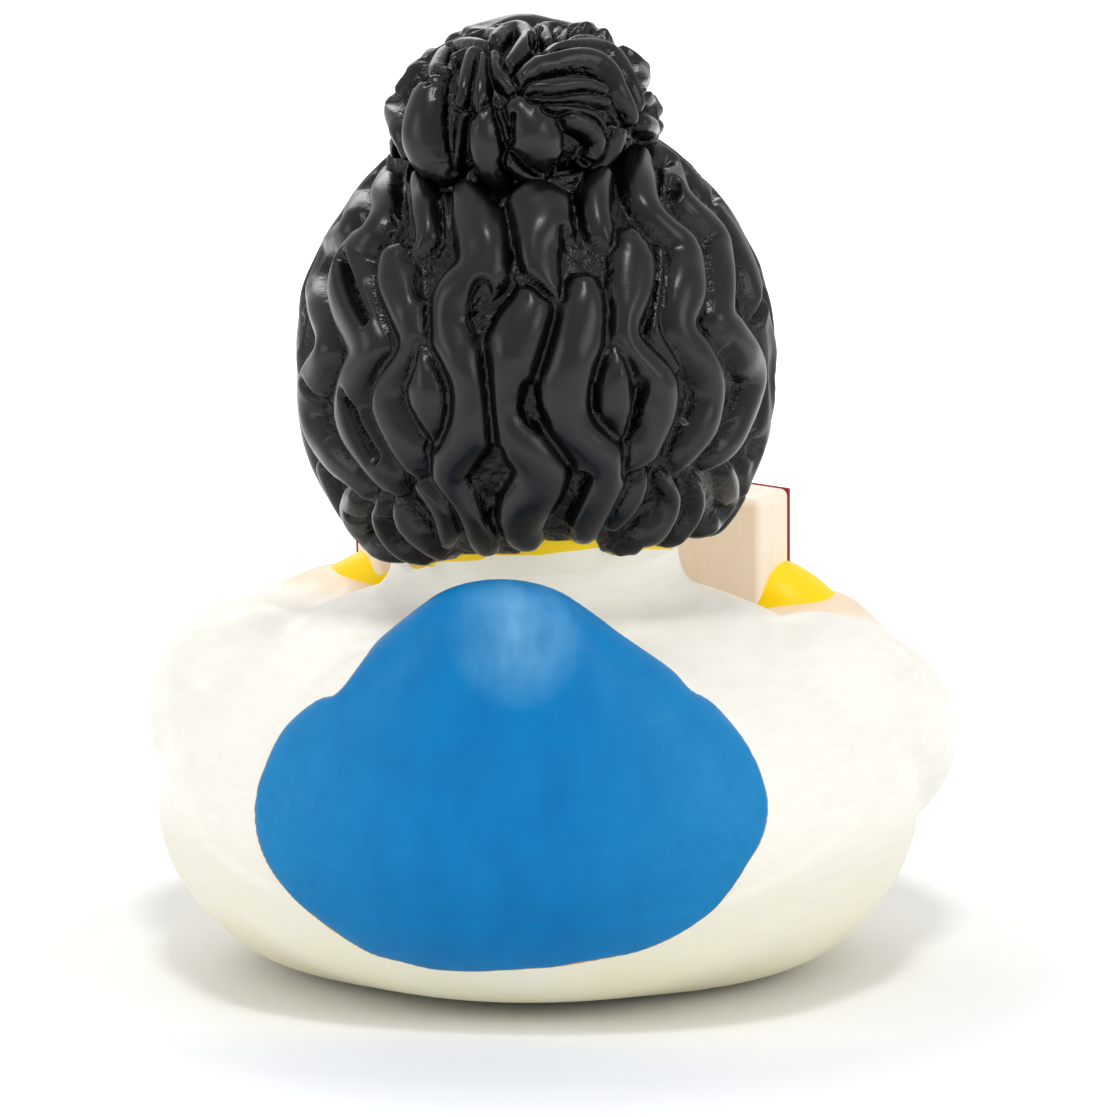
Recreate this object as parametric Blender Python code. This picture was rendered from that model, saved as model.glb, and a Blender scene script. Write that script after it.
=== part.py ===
"""A vinyl bath duck: wavy hair in a bun, a shirt, a broad tail, and an open book held to the chest.

The duck faces -Y with its tail at +Y, stands on z = 0, and is one hollow moulding with a vent in its base.
Its soft forms are ellipsoids and swept limbs that are fused and smoothed.
Each lock of hair is a swept strand.
"""

import math

import bmesh
import bpy
from mathutils import Matrix, Vector
from mathutils.bvhtree import BVHTree

MM = 0.001
TENTH = 0.0001

# Moulding
WALL = 2.5 * MM
VENT_DIAMETER = 3.0 * MM
VENT_BACK = 12.0 * MM

# Body and neck
BODY_HALF_WIDTH = 37.7 * MM
BODY_HALF_LENGTH = 39.0 * MM
BODY_HALF_HEIGHT = 22.8 * MM
BODY_TUCK = 0.2
BODY_MIDDLE_HEIGHT = 16.5 * MM
NECK_RADIUS = 14.0 * MM
BODY_TOP = BODY_MIDDLE_HEIGHT + BODY_HALF_HEIGHT

# Tail, a swept limb that is wider than it is thick, and the field behind the body that is painted with it
TAIL_ROOT_RADIUS = 15.5 * MM
TAIL_MIDDLE_RADIUS = 11.3 * MM
TAIL_TIP_RADIUS = 4.9 * MM
TAIL_ROOT_INSET = 15.5 * MM
TAIL_TIP_INSET = 6.0 * MM
TAIL_TIP_DROP = 0.3 * MM
TAIL_SPREAD = 1.75
TAIL_ROOT_DROP = 22.3 * MM
TAIL_MIDDLE_INSET = 11.2 * MM
TAIL_MIDDLE_DROP = 12.1 * MM
FIELD_HALF_WIDTH = 24.2 * MM
FIELD_HALF_HEIGHT = 13.4 * MM
FIELD_RISE = 1.0 * MM

# Arms and hands
SHOULDER_INSET = 10.2 * MM
SHOULDER_BACK = 2.0 * MM
SHOULDER_DROP = 13.2 * MM
SHOULDER_RADIUS = 9.8 * MM
LEFT_ARM_RAISE = 2.3 * MM
ELBOW_INSET = 6.7 * MM
ELBOW_FORWARD = 16.0 * MM
ELBOW_DROP = 17.3 * MM
ELBOW_RADIUS = 10.6 * MM
WRIST_BESIDE_BOOK = 2.8 * MM
WRIST_DROP = 12.3 * MM
CUFF_RADIUS = 6.0 * MM
HAND_RADIUS = 4.6 * MM
HAND_REACH = 5.0 * MM
HAND_RISE = 4.2 * MM
HAND_HEEL_RISE = 2.5 * MM

# Book, held open with its pages to the chest
BOOK_HALF_WIDTH = 26.0 * MM
BOOK_HEIGHT = 25.0 * MM
BOOK_ABOVE_BODY = 5.7 * MM
PAGES_THICKNESS = 5.6 * MM
COVER_THICKNESS = 1.0 * MM
COVER_LIP = 0.5 * MM
BOOK_EDGE_ROUND = 1.0 * MM
BOOK_AHEAD = 6.5 * MM
BOOK_OPENING = math.radians(27.0)
BOOK_LEAN = math.radians(8.0)

# Head, which sinks a little into the collar
HEAD_HALF_WIDTH = 21.0 * MM
HEAD_HALF_LENGTH = 22.2 * MM
HEAD_HALF_HEIGHT = 23.2 * MM
HEAD_SINK = 3.0 * MM
HEAD_BACK = 3.5 * MM
HEAD_MIDDLE_HEIGHT = BODY_TOP - HEAD_SINK + HEAD_HALF_HEIGHT
HEAD_TOP = HEAD_MIDDLE_HEIGHT + HEAD_HALF_HEIGHT

# Bill and eyes
BILL_HALF_WIDTH = 9.0 * MM
BILL_HALF_HEIGHT = 3.5 * MM
BILL_LENGTH = 9.5 * MM
BILL_DROP = 6.0 * MM
EYE_HALF_WIDTH = 3.6 * MM
EYE_HALF_HEIGHT = 4.8 * MM
EYE_SPACING = 17.0 * MM
EYE_RISE = 4.5 * MM
EYE_STAND = 0.8 * MM
EYE_DEPTH = 2.0 * MM

# Hair
LOCK_RADIUS = 2.05 * MM
LOCK_TIP = 0.5
LOCK_BED = 0.75 * MM
CAP_THICKNESS = 0.35 * MM
CAP_DROP = 17.0 * MM
HAIRLINE_FORWARD = 1.0 * MM
HAIRLINE_DROP = 17.5 * MM
HAIRLINE_SLOPE = math.radians(27.0)
BUN_HALF_WIDTH = 11.4 * MM
BUN_HALF_LENGTH = 11.0 * MM
BUN_HALF_HEIGHT = 7.6 * MM
BUN_LIFT = 1.7 * MM
BUN_ASIDE = 0.9 * MM
BUN_BACK = 5.5 * MM
BUN_STEM_RADIUS = 10.8 * MM
STRAND_RADIUS = 2.0 * MM
RIDGE_RADIUS = 1.1 * MM
SIDE_LOCKS = 5
SIDE_LOCK_START = 88.0
SIDE_LOCK_PITCH = 10.0
BROW_LOCKS = 9
BROW_LOCK_PITCH = 11.0
WAVE_SWING = 3.2
WAVE_LENGTH = 38.0

# The point the hair is drawn from, behind the duck and a little above it
EYE_TURN = math.radians(5.7)
EYE_RAISE = math.radians(8.0)
EYE_DISTANCE = 490.0 * MM
EYE_ACROSS = -2.35 * MM
EYE_UP = -18.55 * MM
DRAWN_HALF_WIDTH = 21.2 * MM
DRAWN_BUN_HALF_WIDTH = 11.4 * MM
DRAWN_BUN_RISE = 1.4 * MM

# How finely the forms are fused
BODY_VOXEL = 1.1 * MM
SKIN_VOXEL = 0.6 * MM
CAVITY_VOXEL = 1.6 * MM
BODY_SMOOTHING = 9
SKIN_SMOOTHING = 1
SKIN_TRIANGLES = 10300
CAVITY_TRIANGLES = 900
FLAT_WITHIN = 0.05 * MM

# Centre lines of the locks, as seen from behind: tenths of a millimetre left of the head's middle and above it
BACK_LOCKS = (
    ((193, 173), (199, 148), (217, 103), (229, 66), (232, 38), (230, 14), (232, -8)),
    ((150, 207), (169, 193), (177, 168), (180, 145), (197, 130), (209, 111), (215, 88), (213, 63),
     (205, 38), (203, 21), (217, 1), (225, -22), (221, -47), (205, -77), (180, -105)),
    ((133, 208), (147, 178), (152, 148), (173, 123), (180, 98), (175, 68), (162, 38), (157, 21),
     (173, -2), (180, -27), (173, -55), (157, -82), (138, -109)),
    ((127, 118), (137, 98), (131, 73), (122, 53), (121, 33), (130, 11), (143, -9), (147, -29),
     (139, -52), (125, -77), (109, -99)),
    ((105, 195), (111, 168), (107, 143), (103, 123)),
    ((110, 21), (101, -2), (99, -27), (97, -52), (99, -72)),
    ((70, 181), (63, 163), (55, 141), (49, 121), (52, 101), (67, 86), (81, 70), (88, 51), (85, 31),
     (72, 11), (64, -9), (61, -29), (62, -49), (69, -69), (83, -87), (87, -105), (77, -124),
     (63, -144), (51, -162), (43, -177)),
    ((-23, 177), (0, 165), (22, 145), (32, 123), (27, 101), (10, 78), (-1, 58), (1, 35), (15, 16),
     (28, -2), (33, -25), (30, -47), (20, -65), (2, -82), (-10, -99), (-8, -117), (7, -134),
     (18, -152), (17, -170)),
    ((-17, 173), (-13, 148), (-5, 125), (-3, 105), (-13, 88), (-25, 75)),
    ((-45, 86), (-55, 70), (-53, 51), (-43, 31), (-32, 11), (-27, -12), (-31, -37), (-42, -59),
     (-58, -79), (-67, -99), (-62, -119), (-52, -139), (-48, -159)),
    ((-63, 193), (-59, 168), (-62, 145), (-77, 130), (-92, 118), (-97, 98), (-92, 75), (-85, 53),
     (-91, 33), (-108, 15), (-121, -3), (-125, -25), (-120, -47), (-107, -69), (-87, -85), (-72, -99)),
    ((-78, 21), (-73, -2), (-72, -27), (-79, -49), (-87, -67)),
    ((-101, 208), (-105, 183), (-116, 160), (-135, 138), (-148, 115), (-147, 88), (-141, 63),
     (-145, 38), (-161, 16), (-175, -5), (-177, -27), (-167, -52), (-152, -75), (-139, -93)),
    ((-133, 215), (-144, 188), (-155, 165), (-175, 145), (-182, 123), (-181, 93), (-178, 63),
     (-187, 38), (-206, 16), (-214, -7), (-209, -32), (-195, -57), (-177, -80)),
    ((-152, 215), (-169, 195), (-181, 168), (-194, 138), (-206, 111), (-216, 83), (-218, 55),
     (-226, 30), (-233, 5), (-231, -20), (-221, -45), (-207, -70)),
    ((203, -89), (201, -117), (189, -142), (169, -162), (145, -181)),
    ((177, -117), (177, -139), (163, -160), (138, -181)),
    ((151, -119), (151, -139), (138, -160), (115, -183)),
    ((127, -109), (132, -132), (120, -155), (97, -177)),
    ((103, -112), (87, -134), (78, -152), (85, -172)),
    ((-93, -97), (-82, -122), (-80, -147), (-90, -169)),
    ((-120, -102), (-133, -120), (-130, -142), (-115, -164)),
    ((-153, -102), (-162, -122), (-155, -144), (-137, -167)),
    ((-187, -92), (-198, -112), (-192, -132), (-175, -152), (-157, -170)),
    ((-217, -82), (-215, -107), (-205, -130), (-189, -152), (-173, -177)),
)

# Thin ridges of the hair that is drawn up under the bun, drawn in the same way
RING_RIDGES = (
    ((95, 193), (65, 187), (40, 168)),
    ((35, 163), (5, 183), (-25, 193), (-55, 205), (-70, 201)),
)

# Strands of the bun, drawn about a point above the bun's middle, each with its share of the strand radius
BUN_STRANDS = (
    (1.25, ((89, 18), (106, 1), (111, -24), (101, -46), (79, -60))),
    (0.80, ((126, -19), (136, 1), (135, 24), (121, 39), (101, 42))),
    (0.95, ((96, 34), (81, 54), (56, 64), (31, 73), (9, 70))),
    (0.80, ((66, 31), (51, 48), (31, 46), (24, 26), (36, 6))),
    (1.00, ((-14, 71), (-39, 86), (-69, 86), (-91, 68), (-109, 51), (-115, 28))),
    (0.90, ((-24, 56), (-59, 64), (-87, 46), (-101, 21), (-113, 1))),
    (0.90, ((1, 26), (-29, 40), (-64, 40), (-85, 21), (-101, -2))),
    (1.10, ((36, -6), (1, 1), (-34, -6), (-64, -19), (-81, -39))),
    (1.15, ((41, -19), (33, -44), (11, -62))),
    (1.10, ((-9, -24), (-29, -44), (-24, -62))),
    (0.75, ((-119, 14), (-134, -4), (-134, -22))),
    (0.80, ((21, 76), (-9, 66), (-24, 46))),
    (0.90, ((76, 6), (66, -24), (63, -49))),
    (0.80, ((-94, -34), (-119, -24), (-134, -34), (-141, -44))),
    (0.90, ((-49, -44), (-79, -49), (-109, -44))),
    (0.65, ((121, -24), (124, -44), (119, -57))),
)


def material(name, colour, roughness):
    """A painted vinyl of one colour."""
    made = bpy.data.materials.new(name)
    made.use_nodes = True
    shader = made.node_tree.nodes["Principled BSDF"]
    shader.inputs["Base Color"].default_value = (*colour, 1.0)
    shader.inputs["Roughness"].default_value = roughness
    shader.inputs["Metallic"].default_value = 0.0
    return made


def new_object(name, mesh):
    made = bpy.data.objects.new(name, mesh)
    bpy.context.scene.collection.objects.link(made)
    return made


def shaped(obj):
    """The mesh of an object as its modifiers leave it. The object itself is taken away."""
    bpy.context.view_layer.update()
    evaluated = obj.evaluated_get(bpy.context.evaluated_depsgraph_get())
    mesh = bpy.data.meshes.new_from_object(evaluated)
    bpy.data.objects.remove(obj)
    return mesh


def joined(meshes):
    """One mesh that holds the faces of several."""
    bm = bmesh.new()
    for mesh in meshes:
        bm.from_mesh(mesh)
    mesh = bpy.data.meshes.new("joined")
    bm.to_mesh(mesh)
    bm.free()
    return mesh


def ellipsoid(centre, half_sizes, turn=None, detail=4):
    """A ball stretched to its half sizes, turned about its own centre."""
    bm = bmesh.new()
    bmesh.ops.create_icosphere(bm, subdivisions=detail, radius=1.0)
    placing = Matrix.Translation(centre) @ (turn or Matrix.Identity(4)) @ Matrix.Diagonal((*half_sizes, 1.0))
    bmesh.ops.transform(bm, matrix=placing, verts=bm.verts)
    mesh = bpy.data.meshes.new("ellipsoid")
    bm.to_mesh(mesh)
    bm.free()
    return mesh


def limb(points, radii, sides=3, fineness=5):
    """A round limb along a smooth curve through the points, with a ball closing each end."""
    curve = bpy.data.curves.new("limb", "CURVE")
    curve.dimensions = "3D"
    curve.resolution_u = fineness
    curve.bevel_depth = 1.0
    curve.bevel_resolution = sides
    curve.use_fill_caps = True
    spline = curve.splines.new("BEZIER")
    spline.bezier_points.add(len(points) - 1)
    for knot, place, radius in zip(spline.bezier_points, points, radii):
        knot.co = place
        knot.radius = radius
        knot.handle_left_type = "AUTO"
        knot.handle_right_type = "AUTO"
    tube = shaped(new_object("limb", curve))
    ends = [ellipsoid(points[i], (radii[i],) * 3, detail=2) for i in (0, -1)]
    return joined([tube, *ends])


def largest_piece(mesh):
    """The mesh without the small bubbles that closed forms can trap between them."""
    bm = bmesh.new()
    bm.from_mesh(mesh)
    pieces = []
    left = set(bm.verts)
    while left:
        piece = set()
        edge_of_piece = [left.pop()]
        while edge_of_piece:
            vert = edge_of_piece.pop()
            piece.add(vert)
            near = {edge.other_vert(vert) for edge in vert.link_edges} & left
            left -= near
            edge_of_piece.extend(near)
        pieces.append(piece)
    pieces.sort(key=len)
    for piece in pieces[:-1]:
        bmesh.ops.delete(bm, geom=list(piece), context="VERTS")
    bm.to_mesh(mesh)
    bm.free()
    return mesh


def fused(meshes, voxel, smoothing):
    """Overlapping closed forms made one skin, with the creases between them softened."""
    obj = new_object("fused", joined(meshes))
    remesh = obj.modifiers.new("fuse", "REMESH")
    remesh.mode = "VOXEL"
    remesh.voxel_size = voxel
    smooth = obj.modifiers.new("soften", "SMOOTH")
    smooth.iterations = int(smoothing)
    return largest_piece(shaped(obj))


def reduced(mesh, triangles, floor):
    """The same skin with its flatter stretches told in fewer triangles, and its underside kept flat."""
    mesh.calc_loop_triangles()
    obj = new_object("reduced", mesh)
    triangulate = obj.modifiers.new("triangulate", "TRIANGULATE")
    triangulate.quad_method = "SHORTEST_DIAGONAL"
    decimate = obj.modifiers.new("reduce", "DECIMATE")
    decimate.ratio = min(1.0, triangles / len(mesh.loop_triangles))
    mesh = shaped(obj)
    for vert in mesh.vertices:
        if vert.co.z < floor + FLAT_WITHIN:
            vert.co.z = floor
    return mesh


def cut_off(mesh, place, normal):
    """Everything behind a plane taken away, and the cut closed with a flat face."""
    bm = bmesh.new()
    bm.from_mesh(mesh)
    bmesh.ops.bisect_plane(
        bm,
        geom=bm.verts[:] + bm.edges[:] + bm.faces[:],
        plane_co=place,
        plane_no=normal,
        clear_inner=True,
    )
    bmesh.ops.holes_fill(bm, edges=[edge for edge in bm.edges if edge.is_boundary], sides=0)
    bm.to_mesh(mesh)
    bm.free()
    return mesh


def cut_flat(mesh, height):
    return cut_off(mesh, (0, 0, height), (0, 0, 1))


def mirrored(point, side):
    return Vector((point[0] * side, point[1], point[2]))


def body_forms(inset=0.0):
    """The neck and the body, which is tucked in towards its flat underside. The inset makes them smaller."""
    body = ellipsoid(
        (0, 0, BODY_MIDDLE_HEIGHT),
        (BODY_HALF_WIDTH - inset, BODY_HALF_LENGTH - inset, BODY_HALF_HEIGHT - inset),
        detail=5,
    )
    for vert in body.vertices:
        depth = max(0.0, 1 - vert.co.z / BODY_MIDDLE_HEIGHT)
        vert.co.y *= 1 - BODY_TUCK * min(depth, 1.0) ** 2
    neck = limb(
        (
            (0, 0, BODY_MIDDLE_HEIGHT),
            (0, HEAD_BACK / 2, BODY_TOP - HEAD_SINK),
            (0, HEAD_BACK, HEAD_MIDDLE_HEIGHT),
        ),
        (NECK_RADIUS - inset,) * 3,
    )
    return [cut_flat(body, inset), neck]


def tail_form(inset=0.0):
    """A limb that rises backwards out of the body and narrows to its tip, spread sideways."""
    form = limb(
        (
            (0, BODY_HALF_LENGTH - TAIL_ROOT_INSET, BODY_TOP - TAIL_ROOT_DROP),
            (0, BODY_HALF_LENGTH - TAIL_MIDDLE_INSET, BODY_TOP - TAIL_MIDDLE_DROP),
            (0, BODY_HALF_LENGTH - TAIL_TIP_INSET, BODY_TOP - TAIL_TIP_DROP - inset),
        ),
        (TAIL_ROOT_RADIUS - inset, TAIL_MIDDLE_RADIUS - inset, TAIL_TIP_RADIUS - inset),
        sides=6,
        fineness=10,
    )
    form.transform(Matrix.Diagonal((TAIL_SPREAD, 1, 1, 1)))
    return form


def in_tail_field(point):
    """Whether a point of the body's rear lies in the round field that is painted with the tail."""
    across = point.x / FIELD_HALF_WIDTH
    up = (point.z - BODY_MIDDLE_HEIGHT - FIELD_RISE) / FIELD_HALF_HEIGHT
    return point.y > 0 and across * across + up * up < 1


def book_corner():
    """The outer edge of the book's left cover, seen from above: how far out and how far ahead."""
    out = BOOK_HALF_WIDTH * math.cos(BOOK_OPENING)
    ahead = BODY_HALF_LENGTH + BOOK_AHEAD - BOOK_HALF_WIDTH * math.sin(BOOK_OPENING)
    return out, ahead


def arm_raise(side):
    """The left arm is held a little higher than the right."""
    return Vector((0, 0, LEFT_ARM_RAISE if side > 0 else 0))


def wrist(side):
    out, ahead = book_corner()
    return mirrored((out + WRIST_BESIDE_BOOK, -ahead, BODY_TOP - WRIST_DROP), side) + arm_raise(side)


def arm_form(side, inset=0.0):
    """A full sleeve from the shoulder round the elbow, narrowing to the cuff."""
    shoulder = mirrored((BODY_HALF_WIDTH - SHOULDER_INSET, SHOULDER_BACK, BODY_TOP - SHOULDER_DROP), side)
    elbow = mirrored((BODY_HALF_WIDTH - ELBOW_INSET, -ELBOW_FORWARD, BODY_TOP - ELBOW_DROP), side)
    radii = (SHOULDER_RADIUS - inset, ELBOW_RADIUS - inset, CUFF_RADIUS - inset)
    return limb((shoulder + arm_raise(side), elbow, wrist(side)), radii, sides=6, fineness=10)


def hand_form(side):
    """The tip of the wing, closed over the edge of the book's cover."""
    start = wrist(side)
    out, ahead = book_corner()
    tip = mirrored((out - HAND_REACH * 0.4, -ahead - HAND_RADIUS * 0.2, start.z + HAND_RISE), side)
    heel = mirrored((out - HAND_REACH, -ahead - HAND_RADIUS * 1.3, start.z + HAND_HEEL_RISE), side)
    return limb((start, tip, heel), (HAND_RADIUS * 1.1, HAND_RADIUS, HAND_RADIUS * 0.75))


def book_layer(near, far, reach, height, rounding):
    """A band of the open book between two depths from the spine, standing its height with rounded edges."""
    out = Vector((math.cos(BOOK_OPENING), math.sin(BOOK_OPENING)))
    inward = Vector((-out.y, out.x))
    corners = []
    for side, depth in ((1, near), (-1, near), (-1, far), (1, far)):
        edge = out * reach + inward * depth
        gutter = (0.0, depth / out.x)
        pair = [(edge.x * side, edge.y), gutter]
        corners += pair if side * (far - near) * (1 if depth == near else -1) > 0 else [pair[0]]
    bm = bmesh.new()
    floor = bm.faces.new([bm.verts.new((x, y, 0.0)) for x, y in corners])
    raised = bmesh.ops.extrude_face_region(bm, geom=[floor])
    top = [item for item in raised["geom"] if isinstance(item, bmesh.types.BMVert)]
    bmesh.ops.translate(bm, vec=(0, 0, height), verts=top)
    bmesh.ops.recalc_face_normals(bm, faces=bm.faces)
    edges = [edge for edge in bm.edges if edge.calc_face_angle() > math.radians(60)]
    bmesh.ops.bevel(bm, geom=edges, offset=rounding, segments=2, profile=0.5, affect="EDGES")
    lean = Matrix.Rotation(-BOOK_LEAN, 4, "X")
    placing = Matrix.Translation((0, -(BODY_HALF_LENGTH + BOOK_AHEAD), BODY_TOP + BOOK_ABOVE_BODY)) @ lean
    low = Matrix.Translation((0, 0, -(BOOK_HEIGHT + height) / 2))
    bmesh.ops.transform(bm, matrix=placing @ low, verts=bm.verts)
    mesh = bpy.data.meshes.new("book_layer")
    bm.to_mesh(mesh)
    bm.free()
    return mesh


def book_forms():
    """The open block of pages, and the cover behind it, which stands out by its lip."""
    pages = book_layer(
        COVER_THICKNESS * 0.6, COVER_THICKNESS + PAGES_THICKNESS, BOOK_HALF_WIDTH, BOOK_HEIGHT, BOOK_EDGE_ROUND
    )
    cover = book_layer(
        0.0, COVER_THICKNESS, BOOK_HALF_WIDTH + COVER_LIP, BOOK_HEIGHT + 2 * COVER_LIP, COVER_THICKNESS * 0.3
    )
    return pages, cover


def head_centre():
    return Vector((0, HEAD_BACK, HEAD_MIDDLE_HEIGHT))


def head_halves(extra=0.0):
    return Vector((HEAD_HALF_WIDTH + extra, HEAD_HALF_LENGTH + extra, HEAD_HALF_HEIGHT + extra))


def bun_centre():
    return Vector((BUN_ASIDE, BUN_BACK, HEAD_TOP + BUN_LIFT))


def bun_halves(extra=0.0):
    return Vector((BUN_HALF_WIDTH + extra, BUN_HALF_LENGTH + extra, BUN_HALF_HEIGHT + extra))


def on_ellipsoid(centre, halves, turn, tilt):
    """The point at a turn about the upright axis, 0 behind and 90 on the left, and a tilt above the middle."""
    turn, tilt = math.radians(turn), math.radians(tilt)
    way = Vector((math.sin(turn) * math.cos(tilt), math.cos(turn) * math.cos(tilt), math.sin(tilt)))
    return centre + way * halves


def as_drawn(centre, halves, across, up):
    """The point of an ellipsoid that the drawing point hides, as seen from the eye behind the duck."""
    left = Vector((math.cos(EYE_TURN), math.sin(EYE_TURN), 0))
    level = math.cos(EYE_RAISE)
    back = Vector((-math.sin(EYE_TURN) * level, math.cos(EYE_TURN) * level, math.sin(EYE_RAISE)))
    above = left.cross(back)
    offset = head_centre() - centre
    eye = centre + offset + left * EYE_ACROSS + above * EYE_UP + back * EYE_DISTANCE
    way = centre + left * across + above * up - eye
    start = Vector(a / b for a, b in zip(eye - centre, halves))
    step = Vector(a / b for a, b in zip(way, halves))
    nearest = -start.dot(step) / step.dot(step)
    inside = 1 - (start + step * nearest).length_squared
    if inside > 0:
        nearest -= math.sqrt(inside / step.dot(step))
    return centre + (start + step * nearest).normalized() * halves


def lock(points, radius):
    """A lock of hair, thinner at both ends."""
    radii = [radius * LOCK_TIP] + [radius] * (len(points) - 2) + [radius * LOCK_TIP]
    return limb(points, radii, sides=2, fineness=4)


def back_locks():
    """The locks that hang down the back of the head, as drawn."""
    scale = TENTH * HEAD_HALF_WIDTH / DRAWN_HALF_WIDTH
    halves = head_halves(LOCK_BED)
    made = []
    for radius, group in ((LOCK_RADIUS, BACK_LOCKS), (RIDGE_RADIUS, RING_RIDGES)):
        for drawn in group:
            points = [as_drawn(head_centre(), halves, a * scale, b * scale) for a, b in drawn]
            made.append(lock(points, radius))
    return made


def wave(turn, top, bottom, phase):
    """A lock that swings from side to side as it runs down the head at one turn."""
    count = max(4, round((top - bottom) / (WAVE_LENGTH / 4)))
    points = []
    for i in range(count + 1):
        tilt = top + (bottom - top) * i / count
        swing = WAVE_SWING * math.sin(2 * math.pi * tilt / WAVE_LENGTH + phase)
        spread = max(math.cos(math.radians(tilt)), 0.35)
        points.append(on_ellipsoid(head_centre(), head_halves(LOCK_BED), turn + swing / spread, tilt))
    return points


def side_locks():
    """The locks over the sides of the head, down to the jaw."""
    made = []
    for side in (-1, 1):
        for i in range(SIDE_LOCKS):
            turn = side * (SIDE_LOCK_START + SIDE_LOCK_PITCH * i)
            bottom = -42.0 + 7.0 * i
            made.append(lock(wave(turn, 62.0, bottom, 0.5 * math.pi * side), LOCK_RADIUS))
    return made


def brow_locks():
    """The locks combed up from the brow to the bun."""
    made = []
    for i in range(BROW_LOCKS):
        place = i - (BROW_LOCKS - 1) / 2
        turn = 180.0 + BROW_LOCK_PITCH * place
        bottom = 30.0 - 0.9 * place * place
        made.append(lock(wave(turn, 66.0, bottom, place), LOCK_RADIUS))
    return made


def bun_strands():
    """The strands wound round the bun: those drawn behind, and the same ones turned round for the front."""
    scale = TENTH * BUN_HALF_WIDTH / DRAWN_BUN_HALF_WIDTH
    centre = bun_centre()
    half_turn = Matrix.Translation(centre) @ Matrix.Rotation(math.pi, 4, "Z") @ Matrix.Translation(-centre)
    made = []
    for share, drawn in BUN_STRANDS:
        points = [
            as_drawn(centre, bun_halves(LOCK_BED), a * scale, b * scale + DRAWN_BUN_RISE) for a, b in drawn
        ]
        made.append(lock(points, STRAND_RADIUS * share))
        made.append(lock([half_turn @ point for point in points], STRAND_RADIUS * share))
    return made


def bun_core():
    core = ellipsoid(bun_centre(), bun_halves())
    stem = limb((head_centre(), bun_centre()), (BUN_STEM_RADIUS, BUN_STEM_RADIUS))
    return [core, stem]


def hair_cap():
    """The hair between the locks, which covers the head behind the hairline and down to the nape."""
    cap = ellipsoid(head_centre(), head_halves(CAP_THICKNESS), detail=5)
    behind = (0, math.cos(HAIRLINE_SLOPE), math.sin(HAIRLINE_SLOPE))
    cap = cut_off(cap, (0, -HAIRLINE_FORWARD, HEAD_MIDDLE_HEIGHT - HAIRLINE_DROP), behind)
    return cut_flat(cap, HEAD_MIDDLE_HEIGHT - CAP_DROP)


def hair_forms():
    return [hair_cap()] + back_locks() + side_locks() + brow_locks() + bun_strands() + bun_core()


def face_front():
    return HEAD_BACK - HEAD_HALF_LENGTH


def bill_forms():
    """An upper bill that lifts at its tip, and a shorter lower one."""
    height = HEAD_MIDDLE_HEIGHT - BILL_DROP
    lift = Matrix.Rotation(math.radians(-8.0), 4, "X")
    upper = ellipsoid(
        (0, face_front() - BILL_LENGTH * 0.25, height), (BILL_HALF_WIDTH, BILL_LENGTH, BILL_HALF_HEIGHT), lift
    )
    lower = ellipsoid(
        (0, face_front() - BILL_LENGTH * 0.1, height - BILL_HALF_HEIGHT * 1.1),
        (BILL_HALF_WIDTH * 0.8, BILL_LENGTH * 0.8, BILL_HALF_HEIGHT * 0.8),
    )
    return [upper, lower]


def eye_form(side):
    """A low oval dome on the face."""
    turn = 180.0 - side * math.degrees(math.asin(EYE_SPACING / 2 / HEAD_HALF_WIDTH))
    tilt = math.degrees(math.asin(EYE_RISE / HEAD_HALF_HEIGHT))
    place = on_ellipsoid(head_centre(), head_halves(EYE_STAND - EYE_DEPTH), turn, tilt)
    facing = Matrix.Rotation(math.radians(-turn), 4, "Z") @ Matrix.Rotation(math.radians(tilt), 4, "X")
    return ellipsoid(place, (EYE_HALF_WIDTH, EYE_DEPTH, EYE_HALF_HEIGHT), facing, detail=3)


def skin_groups():
    """The forms of the outer skin, by the paint that they take."""
    return {
        "shirt": body_forms() + [arm_form(-1), arm_form(1)],
        "tail": [tail_form()],
        "yellow": [ellipsoid(head_centre(), head_halves(), detail=5), hand_form(-1), hand_form(1)],
        "hair": hair_forms(),
        "bill": bill_forms(),
        "eyes": [eye_form(-1), eye_form(1)],
    }


def outer_skin(groups):
    """The softly fused body with the crisper head and hair on it, standing on its flat base."""
    soft = fused(groups["shirt"] + groups["tail"], BODY_VOXEL, BODY_SMOOTHING)
    crisp = groups["yellow"] + groups["hair"] + groups["bill"] + groups["eyes"]
    skin = fused([soft, *crisp], SKIN_VOXEL, SKIN_SMOOTHING)
    return reduced(cut_flat(skin, 0.0), SKIN_TRIANGLES, 0.0)


def cavity():
    """The hollow inside the wall, which follows the body, sleeves, tail, head and bun."""
    forms = body_forms(WALL) + [tail_form(WALL), arm_form(-1, WALL), arm_form(1, WALL)]
    forms += [ellipsoid(head_centre(), head_halves(-WALL)), ellipsoid(bun_centre(), bun_halves(-WALL))]
    hollow = fused(forms, CAVITY_VOXEL, 3)
    return reduced(cut_flat(hollow, WALL), CAVITY_TRIANGLES, WALL)


def vent():
    """A drill for the hole that lets air through the base."""
    bm = bmesh.new()
    bmesh.ops.create_cone(
        bm, cap_ends=True, segments=24, radius1=VENT_DIAMETER / 2, radius2=VENT_DIAMETER / 2, depth=4 * WALL
    )
    bmesh.ops.translate(bm, vec=(0, VENT_BACK, 0), verts=bm.verts)
    mesh = bpy.data.meshes.new("vent")
    bm.to_mesh(mesh)
    bm.free()
    return mesh


def combined(obj, mesh, operation):
    """Adds a Boolean of the object with a helper mesh."""
    helper = new_object("helper", mesh)
    helper.hide_render = True
    helper.display_type = "WIRE"
    step = obj.modifiers.new(operation, "BOOLEAN")
    step.operation = operation
    step.solver = "EXACT"
    step.object = helper
    return helper


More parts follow.
